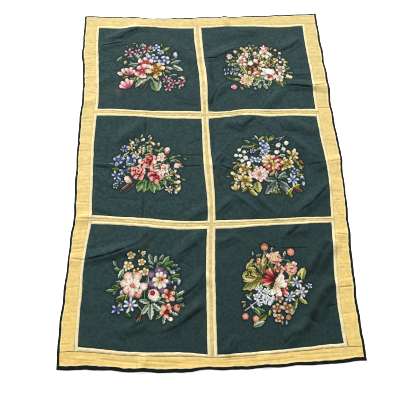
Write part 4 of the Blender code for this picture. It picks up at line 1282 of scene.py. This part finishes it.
SASHES = {
    "sash_upright": (-SASH / 2, SASH / 2, -INNER_Y, INNER_Y, "left"),
    **{
        f"sash_{level}_{side}": (
            SASH / 2 if side == "right" else -INNER_X,
            INNER_X if side == "right" else -SASH / 2,
            ROW_CENTRES[k] - FRAMED / 2 - SASH,
            ROW_CENTRES[k] - FRAMED / 2,
            "bottom",
        )
        for k, level in enumerate(("upper", "lower"))
        for side in ("left", "right")
    },
}
for node, (left, right, bottom, top, inner) in SASHES.items():
    piece = strip("gold_" + node, left, right, bottom, top, inner, 0.004, 6, sash_thickness)
    piece.data.materials.append(sash_cloth)
    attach(piece, "root")
    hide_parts(node)


# Gold borders: four wide strips of gold cloth with a slubbed weave, sewn to the framed panels on the inside. Their
# outer edge is a turned hem, and the cloth puckers across all along its seams.
def puckers(across, along, seed):
    """Small soft ridges across the strip at uneven distances, each slanted its own way and stronger at one seam."""
    draw = np.random.default_rng(seed)
    place = along.min()
    total = np.zeros(across.shape)
    while place < along.max():
        place += draw.uniform(0.008, 0.026)
        breadth, height = draw.uniform(0.005, 0.010), draw.uniform(-0.6, 0.35) * MM
        slant, lean = draw.uniform(-0.012, 0.012), draw.uniform(-1, 1)
        off = (along - place - slant * (across - 0.5)) / (breadth / 2)
        total += height * np.exp(-off * off) * (1 + 0.6 * lean * (across - 0.5) * 2)
    return total


def border_thickness(width, seed, puckered, lined):
    """The thickness of one border strip, puckered and lined to these shares."""

    def thickness(across, along):
        """Down at the inner seam, raised at the turned hem with a groove inside it, and puckered between."""
        metres = across * width
        flat = np.interp(metres, (0, 0.003, 0.008), (GOLD_THIN, 0.00205, GOLD_THICK))
        hem = 0.7 * MM * np.exp(-(((width - metres - 0.0028) / 0.0022) ** 2))
        groove = -0.35 * MM * np.exp(-(((width - metres - 0.0065) / 0.0014) ** 2))
        wrinkles = puckered * puckers(across, along, seed) * np.interp(metres, (0, 0.004), (0.4, 1.0))
        lines = lined * MM * waves(0.12 * along, metres, seed + 5, 9, 0.010, 0.026)
        return flat + hem + groove + wrinkles + lines

    return thickness


gold_cloth, tree, shader = cloth_material("gold cloth", 0.7, 0.2)
place, across, along, weave = strip_inputs(tree, 520.0, 1.4)
up = add(tree, "SeparateXYZ", Vector=place).outputs[1]
level = add(tree, "VectorMath", {"operation": "MULTIPLY"}, _0=place, _1=(11.0, 130.0, 1.0)).outputs[0]
lines = noise(tree, level, 1.0, 3, 0.6)
mottle = noise(tree, place, 55, 4, 0.6)
face = ramp(tree, mottle, (0.28, (226, 200, 126)), (0.5, (240, 217, 148)), (0.7, (247, 228, 164)))
face = mix(tree, step(tree, noise(tree, place, 24, 3), 0.5, 0.68, 0.0, 0.35), face, paint(236, 208, 132))
face = mix(tree, step(tree, lines, 0.53, 0.72, 0.0, 0.55), face, paint(214, 178, 98))
face = mix(tree, step(tree, weave["Slubs"], 0.5, 0.72, 0.0, 0.25), face, paint(220, 184, 104))
# Painted shade that changes with height up the hanging: a little darker towards the top and yellower towards the
# bottom.
face = mix(tree, step(tree, up, -0.5, 0.8), face, paint(243, 242, 235), "MULTIPLY")
face = mix(tree, step(tree, up, 0.55, -0.85), face, paint(255, 246, 222), "MULTIPLY")
# Painted shade in the valley of the inner seam.
face = mix(tree, step(tree, across, 0.05, 0.015, 0.0, 0.45), face, paint(190, 156, 92))
# Painted shade in the seam between the bottom border and the panels: a patchy dark brown line along its inner side.
patchy = step(tree, noise(tree, place, 30, 2), 0.32, 0.5, 0.45, 1.0)
foot = maths(tree, "MULTIPLY", step(tree, up, -0.74, -0.79), patchy)
face = mix(tree, maths(tree, "MULTIPLY", foot, step(tree, across, 0.085, 0.04, 0.0, 0.9)), face, paint(128, 88, 34))
# Painted highlight: a pale, wavy line along the rolled hem near the outer edge.
wavy = maths(tree, "MULTIPLY_ADD", noise(tree, place, 70, 2), 0.06, across)
face = mix(tree, step(tree, wavy, 0.935, 0.96, 0.0, 0.7), face, paint(250, 236, 180))
tree.links.new(trough_shade(tree, face, 0.6), shader.inputs["Base Color"])
bumped(tree, shader, maths(tree, "MULTIPLY_ADD", lines, 2.0, weave["Height"]), 0.00018)

BORDERS = {
    "left": (-GOLD_X, -INNER_X, -INNER_Y, INNER_Y, "right", 20, BORDER_SIDE, 1.0, 0.12),
    "right": (INNER_X, GOLD_X, -INNER_Y, INNER_Y, "left", 20, BORDER_SIDE, 0.9, 0.12),
    "bottom": (-GOLD_X, GOLD_X, GOLD_BOTTOM, -INNER_Y, "top", 17, BORDER_BOTTOM, 0.35, 0.4),
    "top": (-GOLD_X, GOLD_X, INNER_Y, GOLD_TOP, "bottom", 19, BORDER_TOP, 0.4, 0.12),
}
for seed, (side, sizes) in enumerate(BORDERS.items(), 40):
    left, right, bottom, top, inner, divisions, width, puckered, lined = sizes
    piece = strip(
        "gold_border_" + side, left, right, bottom, top, inner, 0.003, divisions,
        border_thickness(width, seed, puckered, lined),
    )
    piece.data.materials.append(gold_cloth)
    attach(piece, "root")
    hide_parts("border_" + side)


def binding_thickness(across, along):
    """Full by the gold and rounded off towards the outer edge."""
    return 0.0018 - 0.0006 * across**3 + 0.12 * MM * waves(along, 0, 61, 9, 0.012, 0.050)


dark_cloth, tree, shader = cloth_material("dark cloth", 0.8, 0.05)
place, across, along, weave = strip_inputs(tree, 900.0, 0.6)
face = ramp(tree, noise(tree, place, 50, 4, 0.6), (0.3, (4, 12, 6)), (0.55, (10, 20, 12)), (0.75, (34, 34, 22)))
tree.links.new(face, shader.inputs["Base Color"])
bumped(tree, shader, weave["Height"], 0.00008)

BINDINGS = {
    "left": (-RIM_X, -GOLD_X, GOLD_BOTTOM, GOLD_TOP, "right"),
    "right": (GOLD_X, RIM_X, GOLD_BOTTOM, GOLD_TOP, "left"),
    "bottom": (-RIM_X, RIM_X, RIM_BOTTOM, GOLD_BOTTOM, "top"),
    "top": (-RIM_X, RIM_X, GOLD_TOP, RIM_TOP, "bottom"),
}
for side, (left, right, bottom, top, inner) in BINDINGS.items():
    piece = strip("dark_binding_" + side, left, right, bottom, top, inner, 0.004, 4, binding_thickness)
    piece.data.materials.append(dark_cloth)
    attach(piece, "root")
    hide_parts("binding_" + side)


# The floor: a plain pale studio floor, which isn't part of the hanging.
FLOOR_SIZE, FLOOR_DROP = 14, 0.0004
bpy.ops.mesh.primitive_plane_add(size=FLOOR_SIZE, location=(0, 0, -FLOOR_DROP))
floor = bpy.context.object
floor.name = "floor"
floor_paint = bpy.data.materials.new("floor paint")
floor_paint.use_nodes = True
floor_shader = floor_paint.node_tree.nodes["Principled BSDF"]
floor_shader.inputs["Base Color"].default_value = (0.93, 0.93, 0.92, 1)
floor_shader.inputs["Roughness"].default_value = 0.9
floor_shader.inputs["Emission Color"].default_value = (1, 1, 1, 1)
floor_shader.inputs["Emission Strength"].default_value = 0.6
floor_shader.inputs["Specular IOR Level"].default_value = 0.1
floor.data.materials.append(floor_paint)

# The light: a broad soft lamp from beyond the top edge, which leaves the near side of each fold in shade, and the
# white room all round.
LAMP_PLACE, LAMP_SIZE, LAMP_WATTS = Vector((-5.8, 22.0, 10.3)), 6.2, 11700
ROOM_LIGHT = 0.30
lamp = bpy.data.objects.new("lamp", bpy.data.lights.new("lamp", "AREA"))
lamp.data.energy = LAMP_WATTS
lamp.data.size = LAMP_SIZE
lamp.location = LAMP_PLACE
lamp.rotation_euler = (-LAMP_PLACE).to_track_quat("-Z", "Y").to_euler()
bpy.context.scene.collection.objects.link(lamp)
world = bpy.data.worlds.new("room")
world.use_nodes = True
room = world.node_tree.nodes["Background"].inputs
room["Color"].default_value = (1, 1, 1, 1)
room["Strength"].default_value = ROOM_LIGHT
bpy.context.scene.world = world
bpy.context.scene.view_settings.view_transform = "Standard"
bpy.context.scene.cycles.filter_width = 1.0
